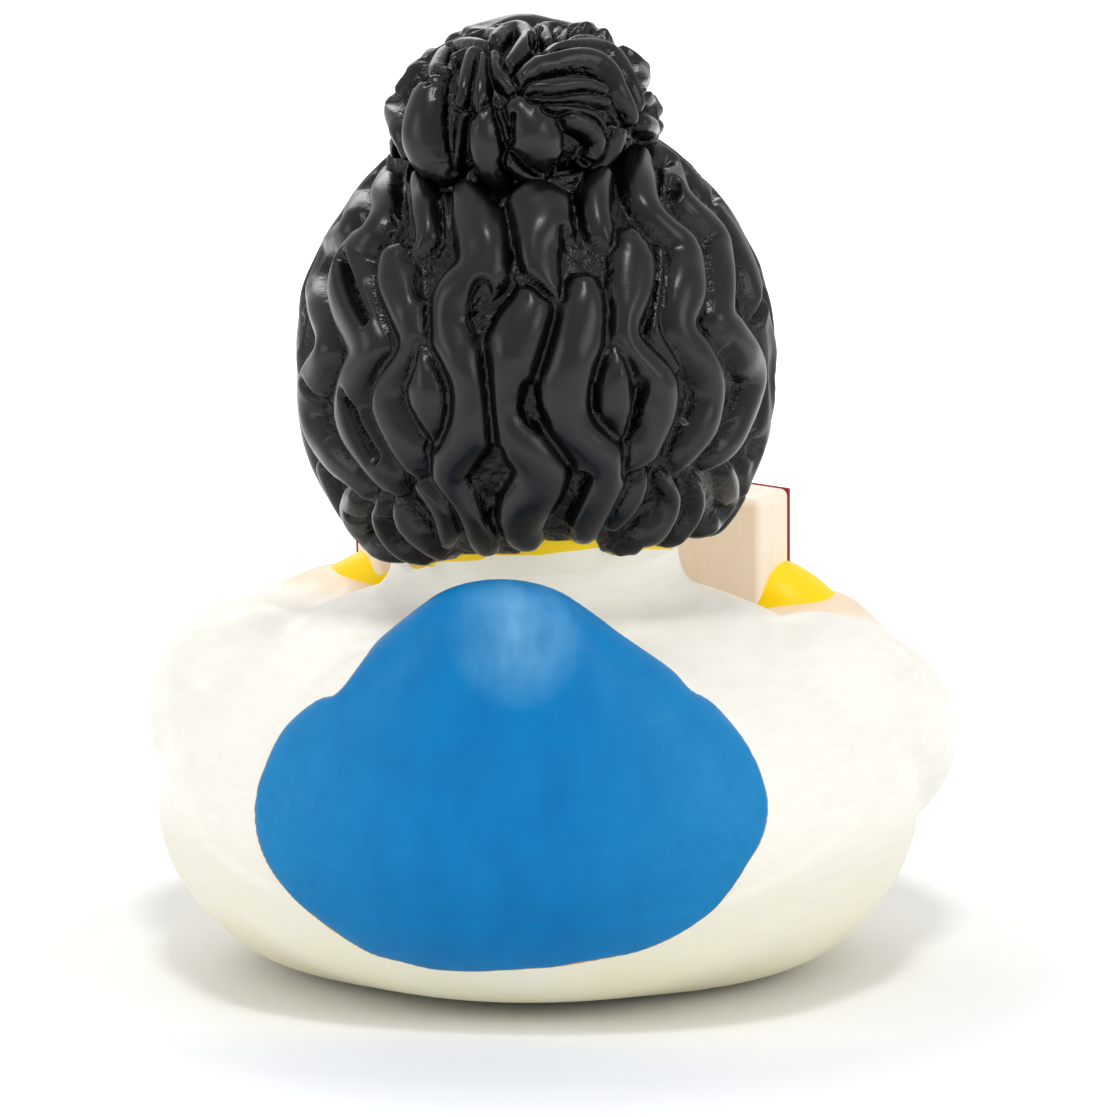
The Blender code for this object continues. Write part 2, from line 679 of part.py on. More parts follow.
def painted(obj, groups, colours):
    """Gives each face the paint of the form that it lies nearest to."""
    names = list(groups)
    for name in names:
        obj.data.materials.append(colours[name])
    trees = []
    for name in names:
        bm = bmesh.new()
        bm.from_mesh(joined(groups[name]))
        trees.append(BVHTree.FromBMesh(bm))
        bm.free()
    for face in obj.data.polygons:
        distances = [tree.find_nearest(face.center)[3] for tree in trees]
        name = names[distances.index(min(distances))]
        if name == "shirt" and in_tail_field(face.center):
            name = "tail"
        face.material_index = names.index(name)


def main():
    for old in list(bpy.data.objects):
        bpy.data.objects.remove(old)
    colours = {
        "shirt": material("shirt_cream", (0.91, 0.88, 0.76), 0.40),
        "tail": material("tail_blue", (0.00, 0.21, 0.50), 0.38),
        "yellow": material("vinyl_yellow", (0.93, 0.62, 0.00), 0.40),
        "hair": material("hair_black", (0.012, 0.012, 0.014), 0.35),
        "bill": material("bill_orange", (0.85, 0.22, 0.02), 0.40),
        "eyes": material("eye_white", (0.90, 0.90, 0.88), 0.30),
        "pages": material("page_cream", (0.93, 0.85, 0.70), 0.50),
        "cover": material("cover_red", (0.45, 0.03, 0.03), 0.45),
    }
    groups = skin_groups()
    duck = new_object("duck", outer_skin(groups))
    pages, cover = book_forms()
    groups["pages"] = [pages]
    groups["cover"] = [cover]
    helpers = [combined(duck, mesh, "UNION") for mesh in (pages, cover)]
    helpers += [combined(duck, mesh, "DIFFERENCE") for mesh in (cavity(), vent())]
    finished = new_object("finished", shaped(duck))
    finished.name = "duck"
    for helper in helpers:
        bpy.data.objects.remove(helper)
    painted(finished, groups, colours)
    finished.data.shade_smooth()
    finished.data.set_sharp_from_angle(angle=math.radians(40.0))


main()
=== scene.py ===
"""A painted vinyl bath duck seen from behind: hair in a bun, a cream shirt, a blue tail and an open book.

Every length is in millimetres until a mesh is written, where it turns to metres. The duck faces -Y.
"""

import math

import bpy
import numpy as np
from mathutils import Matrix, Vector


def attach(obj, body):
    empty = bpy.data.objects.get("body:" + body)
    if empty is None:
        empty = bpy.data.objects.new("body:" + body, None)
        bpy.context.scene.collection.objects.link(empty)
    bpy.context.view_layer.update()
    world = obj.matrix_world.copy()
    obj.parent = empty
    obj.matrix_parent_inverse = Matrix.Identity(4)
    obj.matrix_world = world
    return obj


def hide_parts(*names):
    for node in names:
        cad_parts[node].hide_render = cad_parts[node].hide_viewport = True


MM = 0.001

# Body and neck
BODY_HALVES = np.array((37.7, 39.0, 22.8))
BODY_MIDDLE = np.array((0.0, 0.0, 16.5))
BODY_TUCK = 0.2
BODY_TOP = BODY_MIDDLE[2] + BODY_HALVES[2]
NECK_RADIUS = 14.0
NECK_MELT = 4.0
TAIL_MELT = 4.0
SLEEVE_MELT = 1.6
FOOT_ROUNDING = 3.0

# Head, face, hair and bun
HEAD_HALVES = np.array((21.0, 22.2, 23.2))
HEAD_SINK = 3.0
HEAD_BACK = 3.5
HEAD_MIDDLE = np.array((0.0, HEAD_BACK, BODY_TOP - HEAD_SINK + HEAD_HALVES[2]))
CAP_THICKNESS = 0.35
LOCK_BED = 0.75
LOCK_RADIUS = 2.05
LOCK_TIP = 1.8
PLAIN_LOCK_HALF_WIDTH = 1.9
LOCK_NARROWEST = 0.62
LOCK_WIDEST = 1.32
LINE_STEP = 0.9
REACH = 2.3
NAPE_DROP = 1.1
HAIRLINE_FORWARD = 1.0
HAIRLINE_DROP = 17.5
HAIRLINE_SLOPE = math.radians(27.0)
SIDE_LOCKS = 5
SIDE_FIRST = 90.0
SIDE_PITCH = 10.0
BROW_LOCKS = 9
BROW_PITCH = 11.0
BUN_STEM_RADIUS = 10.8
BUN_HALVES = np.array((11.4, 12.0, 8.4))
BUN_MIDDLE = np.array((0.9, 6.2, HEAD_MIDDLE[2] + HEAD_HALVES[2] + 0.5))
BUN_LEAN = 0.10
BUN_BED = 0.2
BUN_LOCK_RADIUS = 2.7
BUN_COIL_HALF_WIDTH = 1.6
BUN_COILS = (-40.0, -22.0, -4.0, 14.0, 32.0, 50.0, 66.0)

# Bill and eyes
BILL_DROP = 6.0
BILL_LIFT = math.radians(8)
EYE_ASIDE = 8.5
EYE_RISE = 4.5
EYE_HALVES = (3.6, 2.0, 4.8)
EYE_SINK = 1.2
PUPIL_RADIUS = 2.0

# Tail, arms and hands
TAIL_KNOTS = ((0.0, 23.5, 17.0), (0.0, 27.8, 26.8), (0.0, 33.0, 37.6))
TAIL_RADII = (15.5, 11.3, 4.6)
TAIL_SPREAD = 1.75
TAIL_ROOT_HEIGHT = 22.0
TAIL_PRESSED_FROM = 28.0
TAIL_PRESS = 0.14
LEFT_ARM_RAISE = 2.3
SHOULDER = (27.5, 2.0, 25.8)
LEFT_ELBOW = (31.0, -15.0, 23.5)
RIGHT_ELBOW = (-31.0, -15.0, 20.9)
LEFT_RADII = (9.8, 10.2, 6.0)
LEFT_WRIST_IN = 1.6
RIGHT_RADII = (9.8, 10.2, 6.3)
WRIST_OUT = 2.8
WRIST_HEIGHT = 27.0
HAND_RADIUS = 4.6
HAND_REACH = 5.0
HAND_RISE = 4.2
HAND_HEEL_RISE = 2.5
LEFT_HAND_TUCK = 2.9
LEFT_HAND_DROP = 0.9

# Book
BOOK_HALF_WIDTH = 26.0
BOOK_HEIGHT = 25.0
BOOK_TOP = 45.0
BOOK_SPINE = 45.5
BOOK_OPENING = math.radians(27.0)
BOOK_LEAN = math.radians(8.0)
PAGES_THICKNESS = 6.1
COVER_THICKNESS = 0.35

# Paint: the blue field's raised edge, how far it wraps round the tail, the reach of the cuffs' painted shade,
# the collar in front
PAINT_ROLL = 1.5
PAINT_RISE = 0.6
PAINT_WRAP = 2.5
CUFF_SHADE_REACH = 11.0
COLLAR_HEIGHT = 43.0

# The photograph's camera
VIEW_TURN = math.radians(5.7)
VIEW_RAISE = math.radians(8.0)
VIEW_DISTANCE = 490.0
VIEW_ASIDE = -2.0
VIEW_HEIGHT = 39.85
VIEW_WIDTH = 111.7
# Lines drawn on the view are in tenths of a millimetre, right and down from the drawing's upper left corner
DRAWN_MIDDLE = 558.5
SENSOR = 36.0

# Studio, in metres and watts: each lamp's name, place, size and power
WHITE = (1.0, 1.0, 1.0, 1.0)
FILL = 0.64
LAMPS = (
    ("top_softbox", (-0.05, 0.42, 0.85), 0.15, 2.5),
    ("left_softbox", (0.62, 0.42, 0.30), 0.35, 0.9),
    ("right_softbox", (-0.62, 0.42, 0.34), 0.35, 1.2),
    ("front_softbox", (0.2, -0.6, 0.5), 0.4, 1.2),
)
LAMPS_AIM = (0.0, 0.0, 0.045)
FLOOR_RADIUS = 3.0
FLOOR_GAP = 0.0002
SHADOW_REACH = (0.05, 0.17)


# Camera

VIEW_LEFT = np.array((math.cos(VIEW_TURN), math.sin(VIEW_TURN), 0.0))
VIEW_BACK = np.array((-math.sin(VIEW_TURN), math.cos(VIEW_TURN), math.tan(VIEW_RAISE))) * math.cos(VIEW_RAISE)
VIEW_ABOVE = np.cross(VIEW_LEFT, VIEW_BACK)
VIEW_TARGET = VIEW_LEFT * VIEW_ASIDE + VIEW_ABOVE * VIEW_HEIGHT


def make_camera():
    camera = bpy.data.cameras.new("camera")
    camera.lens = SENSOR * VIEW_DISTANCE / VIEW_WIDTH
    camera.sensor_width = SENSOR
    camera.clip_start = 0.01
    holder = bpy.data.objects.new("camera", camera)
    holder.location = Vector((VIEW_TARGET + VIEW_BACK * VIEW_DISTANCE) * MM)
    holder.rotation_mode = "QUATERNION"
    holder.rotation_quaternion = Vector(-VIEW_BACK).to_track_quat("-Z", "Y")
    bpy.context.scene.collection.objects.link(holder)
    bpy.context.scene.camera = holder


def seen_at(points):
    """Where points show from the camera: mm left of the view's middle and above it, at the duck's depth."""
    offset = points - VIEW_TARGET
    shrink = VIEW_DISTANCE / (VIEW_DISTANCE - offset @ VIEW_BACK)
    return offset @ VIEW_LEFT * shrink, offset @ VIEW_ABOVE * shrink


# Forms as distance fields, in which a point outside is positive


def egg(p, middle, halves):
    """Distance to an ellipsoid: |q| (|q| - 1) / |q / halves|, where q is the point over the half sizes."""
    q = (p - middle) / halves
    reach = np.linalg.norm(q, axis=-1)
    return reach * (reach - 1) / np.maximum(np.linalg.norm(q / halves, axis=-1), 1e-9)


def through(knots, steps):
    """Points on the parabola through three knots, at even steps."""
    a, b, c = (np.array(k, float) for k in knots)
    t = np.linspace(0, 1, steps)[:, None]
    return a * (1 - t) * (1 - 2 * t) + b * 4 * t * (1 - t) + c * t * (2 * t - 1)


def limb(p, knots, radii, spread=1.0, steps=25):
    """Distance to a round limb: the nearest of short cones along it, in space narrowed by its spread."""
    narrow = np.array((1 / spread, 1, 1))
    line = through(knots, steps) * narrow
    swell = np.interp(np.linspace(0, 1, steps), (0, 0.5, 1), radii)
    p = p * narrow
    nearest = np.full(p.shape[:-1], 1e9)
    for a, b, ra, rb in zip(line[:-1], line[1:], swell[:-1], swell[1:]):
        t = np.clip((p - a) @ (b - a) / ((b - a) @ (b - a)), 0, 1)
        gap = np.linalg.norm(p - a - t[..., None] * (b - a), axis=-1) - (ra + (rb - ra) * t)
        nearest = np.minimum(nearest, gap)
    return nearest


def melt(a, b, softness):
    """The nearer of two distances, rounded where alike: min(a, b) - s h^2 / 4, with h = 1 - |a - b| / s."""
    h = np.maximum(1 - np.abs(a - b) / softness, 0)
    return np.minimum(a, b) - softness * h * h / 4


def body_field(p):
    """The tucked body, neck, tail and sleeves melted together and cut flat beneath."""
    depth = np.clip(1 - p[..., 2] / BODY_MIDDLE[2], 0, 1)
    q = p.copy()
    q[..., 1] /= 1 - BODY_TUCK * depth**2
    f = egg(q, BODY_MIDDLE, BODY_HALVES)
    neck = (BODY_MIDDLE, (0, HEAD_BACK / 2, BODY_TOP - HEAD_SINK), (0, HEAD_BACK, BODY_TOP + 6))
    f = melt(f, limb(p, neck, (NECK_RADIUS,) * 3, steps=4), NECK_MELT)
    f = melt(f, limb(p, TAIL_KNOTS, TAIL_RADII, TAIL_SPREAD), TAIL_MELT)
    f = melt(f, limb(p, arm_knots(-1), RIGHT_RADII), SLEEVE_MELT)
    f = melt(f, limb(p, arm_knots(1), LEFT_RADII), SLEEVE_MELT)
    return -melt(-f, p[..., 2], FOOT_ROUNDING)


def book_corner():
    out = BOOK_HALF_WIDTH * math.cos(BOOK_OPENING)
    return out, BOOK_SPINE - BOOK_HALF_WIDTH * math.sin(BOOK_OPENING)


def arm_knots(side):
    """Shoulder, elbow and wrist, with the left arm held a little higher."""
    raised, inward = (LEFT_ARM_RAISE, LEFT_WRIST_IN) if side > 0 else (0.0, 0.0)
    out, ahead = book_corner()
    return (
        (SHOULDER[0] * side, SHOULDER[1], SHOULDER[2]),
        LEFT_ELBOW if side > 0 else RIGHT_ELBOW,
        ((out + WRIST_OUT - inward) * side, -ahead, WRIST_HEIGHT + raised),
    )


def pitched(angle):
    """The matrix that tips rows of points about the X axis, their tops towards the duck's tail."""
    c, s = math.cos(angle), math.sin(angle)
    return np.array(((1, 0, 0), (0, c, -s), (0, s, c)))


def sphere_ways(around, tall):
    """Unit directions on a grid of turns and tilts, from straight down to straight up."""
    turn = np.linspace(0, 2 * np.pi, around, endpoint=False)
    tilt = np.linspace(-np.pi / 2, np.pi / 2, tall + 2)[1:-1]
    turn, tilt = np.meshgrid(turn, tilt)
    return np.stack((np.cos(tilt) * np.cos(turn), np.cos(tilt) * np.sin(turn), np.sin(tilt)), -1)


def outermost(field, middle, ways, far, steps=30):
    """Along each way from the middle, the outermost point where the field changes sign, found by halving."""
    reach = np.linspace(far, 0.5, steps)
    high = np.full(ways.shape[:-1], far)
    low = np.full(ways.shape[:-1], 0.0)
    found = np.zeros(ways.shape[:-1], bool)
    for outer, inner in zip(reach[:-1], reach[1:]):
        inside = (field(middle + ways * inner) < 0) & ~found
        high[inside], low[inside] = outer, inner
        found |= inside
    for _ in range(12):
        mid = (high + low) / 2
        inside = field(middle + ways * mid[..., None]) < 0
        low = np.where(inside, mid, low)
        high = np.where(inside, high, mid)
    return middle + ways * high[..., None]


# Meshes


def grid_faces(rows, columns):
    """Four-sided faces of a grid whose columns close into a ring."""
    r, c = np.meshgrid(np.arange(rows - 1), np.arange(columns), indexing="ij")
    n = (c + 1) % columns
    faces = np.stack((r * columns + c, r * columns + n, (r + 1) * columns + n, (r + 1) * columns + c), -1)
    return faces.reshape(-1, 4)


def fans(rows, columns, low, high):
    """Triangles that close the first and last ring of a grid onto one point each."""
    c = np.arange(columns)
    n = (c + 1) % columns
    top = (rows - 1) * columns
    below = np.stack((n, c, np.full(columns, low)), -1)
    above = np.stack((c + top, n + top, np.full(columns, high)), -1)
    return below, above


def write_mesh(name, points, quads, triangles, finish, attributes=None):
    """Makes a mesh of whole arrays of points and faces, which rides on the duck's body and stands for it."""
    mesh = bpy.data.meshes.new(name)
    loops = np.concatenate((quads.ravel(), triangles.ravel())).astype(np.int32)
    sizes = np.concatenate((np.full(len(quads), 4), np.full(len(triangles), 3))).astype(np.int32)
    starts = np.concatenate(((0,), np.cumsum(sizes)[:-1])).astype(np.int32)
    mesh.vertices.add(len(points))
    mesh.loops.add(len(loops))
    mesh.polygons.add(len(sizes))
    mesh.vertices.foreach_set("co", (points * MM).astype(np.float32).ravel())
    mesh.loops.foreach_set("vertex_index", loops)
    mesh.polygons.foreach_set("loop_start", starts)
    mesh.update(calc_edges=True)
    mesh.validate()
    mesh.shade_smooth()
    for key, values in (attributes or {}).items():
        layer = mesh.attributes.new(key, "FLOAT", "POINT")
        layer.data.foreach_set("value", values.astype(np.float32).ravel())
    piece = bpy.data.objects.new(name, mesh)
    bpy.context.scene.collection.objects.link(piece)
    mesh.materials.append(finish)
    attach(piece, "root")
    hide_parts("duck")
    return piece


def closed_grid(name, points, finish, attributes=None):
    """A closed surface from a grid of rings, with each end ring closed onto its own middle."""
    rows, columns = points.shape[:2]
    flat = points.reshape(-1, 3)
    ends = np.array((points[0].mean(0), points[-1].mean(0)))
    points = np.concatenate((flat, ends))
    triangles = np.concatenate(fans(rows, columns, len(flat), len(flat) + 1))
    values = {}
    for key, v in (attributes or {}).items():
        values[key] = np.concatenate((v.ravel(), (v[0].mean(), v[-1].mean())))
    write_mesh(name, points, grid_faces(rows, columns), triangles, finish, values)


# Painted body


# The edge of the blue paint, in tenths of a millimetre left of the view's middle and above it. Its upper
# stretch lies at the tail's outline, where the tail's own rim ends the paint.
BLUE_EDGE = (
    (222, -137), (238, -141), (258, -155), (277, -175), (292, -205), (302, -235), (304, -262), (300, -286),
    (291, -308), (277, -329), (258, -349), (235, -368), (210, -385), (186, -398), (158, -405), (130, -412),
    (95, -415), (60, -414), (25, -412), (0, -410), (-40, -403), (-75, -396), (-100, -387), (-120, -377),
    (-140, -364), (-158, -349), (-176, -326), (-190, -303), (-203, -281), (-209, -250), (-203, -220),
    (-190, -190), (-172, -165), (-150, -142), (-128, -130), (-100, -90), (-60, -40), (-10, 0), (50, 15),
    (110, -5), (152, -45), (193, -100),
)
# The top of the shirt's paint at the nape, and the hair's lower edge above it, as places in the drawing
COLLAR_LINE = (
    (370, 540), (398, 553), (410, 566), (424, 570), (440, 562), (480, 560), (490, 555), (540, 555),
    (560, 552), (580, 550), (600, 547), (612, 556), (635, 552), (645, 549), (680, 549), (700, 552),
    (706, 560), (712, 562), (730, 545),
)
HAIR_EDGE = (
    (380, 556), (400, 560), (424, 564), (450, 560), (455, 556), (480, 555), (518, 555), (524, 549),
    (536, 546), (542, 540), (560, 542), (580, 540), (600, 540), (606, 552), (620, 556), (634, 554),
    (640, 542), (660, 541), (665, 546), (700, 546), (704, 552), (711, 558), (725, 545),
)


def drawn_height(edge, across):
    """How far above the view's middle a drawn edge lies, for places across the view."""
    right, down = np.array(edge, float).T
    return np.interp(DRAWN_MIDDLE - across * 10, right, DRAWN_MIDDLE - down) / 10


def polygon_distance(x, y, corners):
    """Signed distance to a closed outline: the nearest of its sides, positive inside by the crossing rule."""
    corners = np.array(corners, float) / 10
    nearest = np.full(x.shape, 1e9)
    inside = np.zeros(x.shape, bool)
    for (ax, ay), (bx, by) in zip(corners, np.roll(corners, -1, 0)):
        length = (bx - ax) ** 2 + (by - ay) ** 2
        t = np.clip(((x - ax) * (bx - ax) + (y - ay) * (by - ay)) / length, 0, 1)
        nearest = np.minimum(nearest, np.hypot(x - ax - t * (bx - ax), y - ay - t * (by - ay)))
        if by != ay:
            crosses = (ay > y) != (by > y)
            inside ^= crosses & (x < (bx - ax) * (y - ay) / (by - ay) + ax)
    return np.where(inside, nearest, -nearest)


def wander(t, seed, waves=5):
    """A line that wanders between about -1 and 1: sines in k, sin(t k (1.7 + 0.31 seed) + 2.4 seed k) / k."""
    made = np.zeros_like(t)
    for k in range(1, waves + 1):
        made += np.sin(t * k * (1.7 + 0.31 * seed) + seed * 2.4 * k) / k
    return made / 1.6


def smooth_loop(corners, steps=5):
    """A closed Catmull-Rom curve through the corners."""
    a, b, c, d = (np.roll(np.array(corners, float), k, 0)[:, None] for k in (1, 0, -1, -2))
    t = np.linspace(0, 1, steps, endpoint=False)[None, :, None]
    curve = 0.5 * (2 * b + (c - a) * t + (2 * a - 5 * b + 4 * c - d) * t**2 + (3 * b - a - 3 * c + d) * t**3)
    return curve.reshape(-1, 2)


def grid_normals(points):
    """Outward directions over a grid whose columns close into a ring."""
    along = np.roll(points, -1, 1) - np.roll(points, 1, 1)
    up = np.gradient(points, axis=0)
    out = np.cross(along, up)
    return out / np.maximum(np.linalg.norm(out, axis=-1, keepdims=True), 1e-9)


def make_body():
    """The body in one surface, its front smoothed where the sleeves stand clear of the chest."""
    low, middle_rows, high = np.linspace(-88, -36, 20), np.linspace(-35, 52, 158), np.linspace(54, 88, 16)
    ways = ways_of(spread_turns(110, 400), np.radians(np.concatenate((low, middle_rows, high))))
    middle = np.array((0.0, 3.0, 18.0))
    points = outermost(body_field, middle, ways, 62.0, 15)
    reach = np.linalg.norm(points - middle, axis=-1)
    front = np.clip((-8.0 - points[..., 1]) / 8.0, 0, 1)
    reach += (eased(reach, 5) - reach) * front
    points = middle + ways * reach[..., None]
    across, above = seen_at(points)
    blue = blue_field(points, across, above)
    bare = np.where(blue > -3, -1.0, above_collar(points, across, above))
    swell = np.clip(blue / PAINT_ROLL, 0, 1)
    rise = PAINT_RISE * np.sqrt(1 - (1 - swell) ** 2) * np.clip(0.4 + (above + 38) / 30, 0.4, 1)
    points = points + grid_normals(points) * rise[..., None]
    points[..., 1] -= TAIL_PRESS * np.maximum(points[..., 1] - TAIL_PRESSED_FROM, 0)
    wrists = np.minimum(*(np.linalg.norm(points - arm_knots(side)[2], axis=-1) for side in (-1, 1)))
    # Painted shade at the cuffs, stronger nearer a wrist
    cuff_shade = np.clip((CUFF_SHADE_REACH - wrists) / 5, 0, 0.75)
    closed_grid("body", points, painted_shirt(), {"blue": blue, "bare": bare, "cuff_shade": cuff_shade})


def blue_field(points, across, above):
    """How far inside the blue paint a point lies: within its drawn edge and behind the tail's rim."""
    drawn = polygon_distance(across, above, smooth_loop(BLUE_EDGE))
    knots = np.array(TAIL_KNOTS)
    rim = np.interp(points[..., 2], knots[:, 2], knots[:, 1]) - PAINT_WRAP
    behind = np.where(points[..., 2] > TAIL_ROOT_HEIGHT, points[..., 1] - rim, 5.0)
    return eased(np.where(points[..., 1] > 8, np.minimum(drawn, behind), -5.0), 4)


def above_collar(points, across, above):
    """How far a point lies above the shirt's top edge, which is drawn at the nape and level in front."""
    drawn = above - drawn_height(COLLAR_LINE, across)
    turn = np.arctan2(points[..., 0], points[..., 1])
    level = points[..., 2] - COLLAR_HEIGHT - 0.3 * wander(turn * 6, 1.0)
    return np.where(points[..., 1] > 6, drawn, level)


def make_hand(side):
    """The wing tip that closes over the cover's edge: wrist, knuckle and heel joined as one limb."""
    start = np.array(arm_knots(side)[2])
    out, ahead = book_corner()
    tuck, drop = (LEFT_HAND_TUCK, LEFT_HAND_DROP) if side > 0 else (0.0, 0.0)
    tip_out = out - HAND_REACH * 0.4 - tuck
    tip = (tip_out * side, -ahead - HAND_RADIUS * 0.2, start[2] + HAND_RISE - drop)
    heel = ((out - HAND_REACH - tuck) * side, -ahead - HAND_RADIUS * 1.3, start[2] + HAND_HEEL_RISE)

    def field(p):
        return limb(p, (start, tip, heel), (HAND_RADIUS * 1.1, HAND_RADIUS, HAND_RADIUS * 0.75))

    points = outermost(field, np.array(tip) * 0.6 + start * 0.4, sphere_ways(96, 48), 16.0)
    closed_grid("hand_left" if side > 0 else "hand_right", points, yellow_vinyl())


# Head and face


def in_head(p, extra=0.0):
    return HEAD_MIDDLE + p * (HEAD_HALVES + extra)


def make_head():
    points = in_head(sphere_ways(200, 120))
    across, above = seen_at(points)
    closed_grid("head", points, yellow_vinyl(), {"shirt": -above_collar(points, across, above)})


def make_bill():
    """Two flat eggs, the upper one lifted at its tip and pinched to a lip all round."""
    face = HEAD_BACK - HEAD_HALVES[1]
    height = HEAD_MIDDLE[2] - BILL_DROP
    ways = sphere_ways(120, 60)
    for name, halves, back, drop, lift in (
        ("bill_upper", (9.0, 9.5, 3.5), 2.4, 0.0, BILL_LIFT),
        ("bill_lower", (7.2, 7.6, 2.8), 0.95, 3.85, 0.0),
    ):
        q = np.sign(ways) * np.abs(ways) ** np.array((1.0, 1.0, 0.9)) * halves
        points = q @ pitched(lift) + (0.0, face - back, height - drop)
        orange = brushed_enamel("enamel_orange", 0.4, "#e8741a", "#f08429", 2.0, (1.0, 3.0, 1.0))
        closed_grid(name, points, orange)


def make_eyes():
    """Low oval domes, painted white with a round dark middle."""
    for side in (-1, 1):
        turn = math.asin(EYE_ASIDE / HEAD_HALVES[0]) * side
        tilt = math.asin(EYE_RISE / HEAD_HALVES[2])
        way = np.array((math.sin(turn) * math.cos(tilt), -math.cos(turn) * math.cos(tilt), math.sin(tilt)))
        place = in_head(way, -EYE_SINK)
        out = way / HEAD_HALVES
        out /= np.linalg.norm(out)
        across = np.cross((0, 0, 1.0), out)
        across /= np.linalg.norm(across)
        up = np.cross(out, across)
        w = sphere_ways(64, 48)
        points = place + w * EYE_HALVES @ np.array((across, out, up))
        aside, rise = (w[..., 0] + 0.12 * side) * EYE_HALVES[0], (w[..., 2] - 0.05) * EYE_HALVES[2]
        pupil = np.where(w[..., 1] > 0, PUPIL_RADIUS - np.hypot(aside, rise), -1.0)
        closed_grid("eye_left" if side > 0 else "eye_right", points, painted_eye(), {"pupil": pupil})
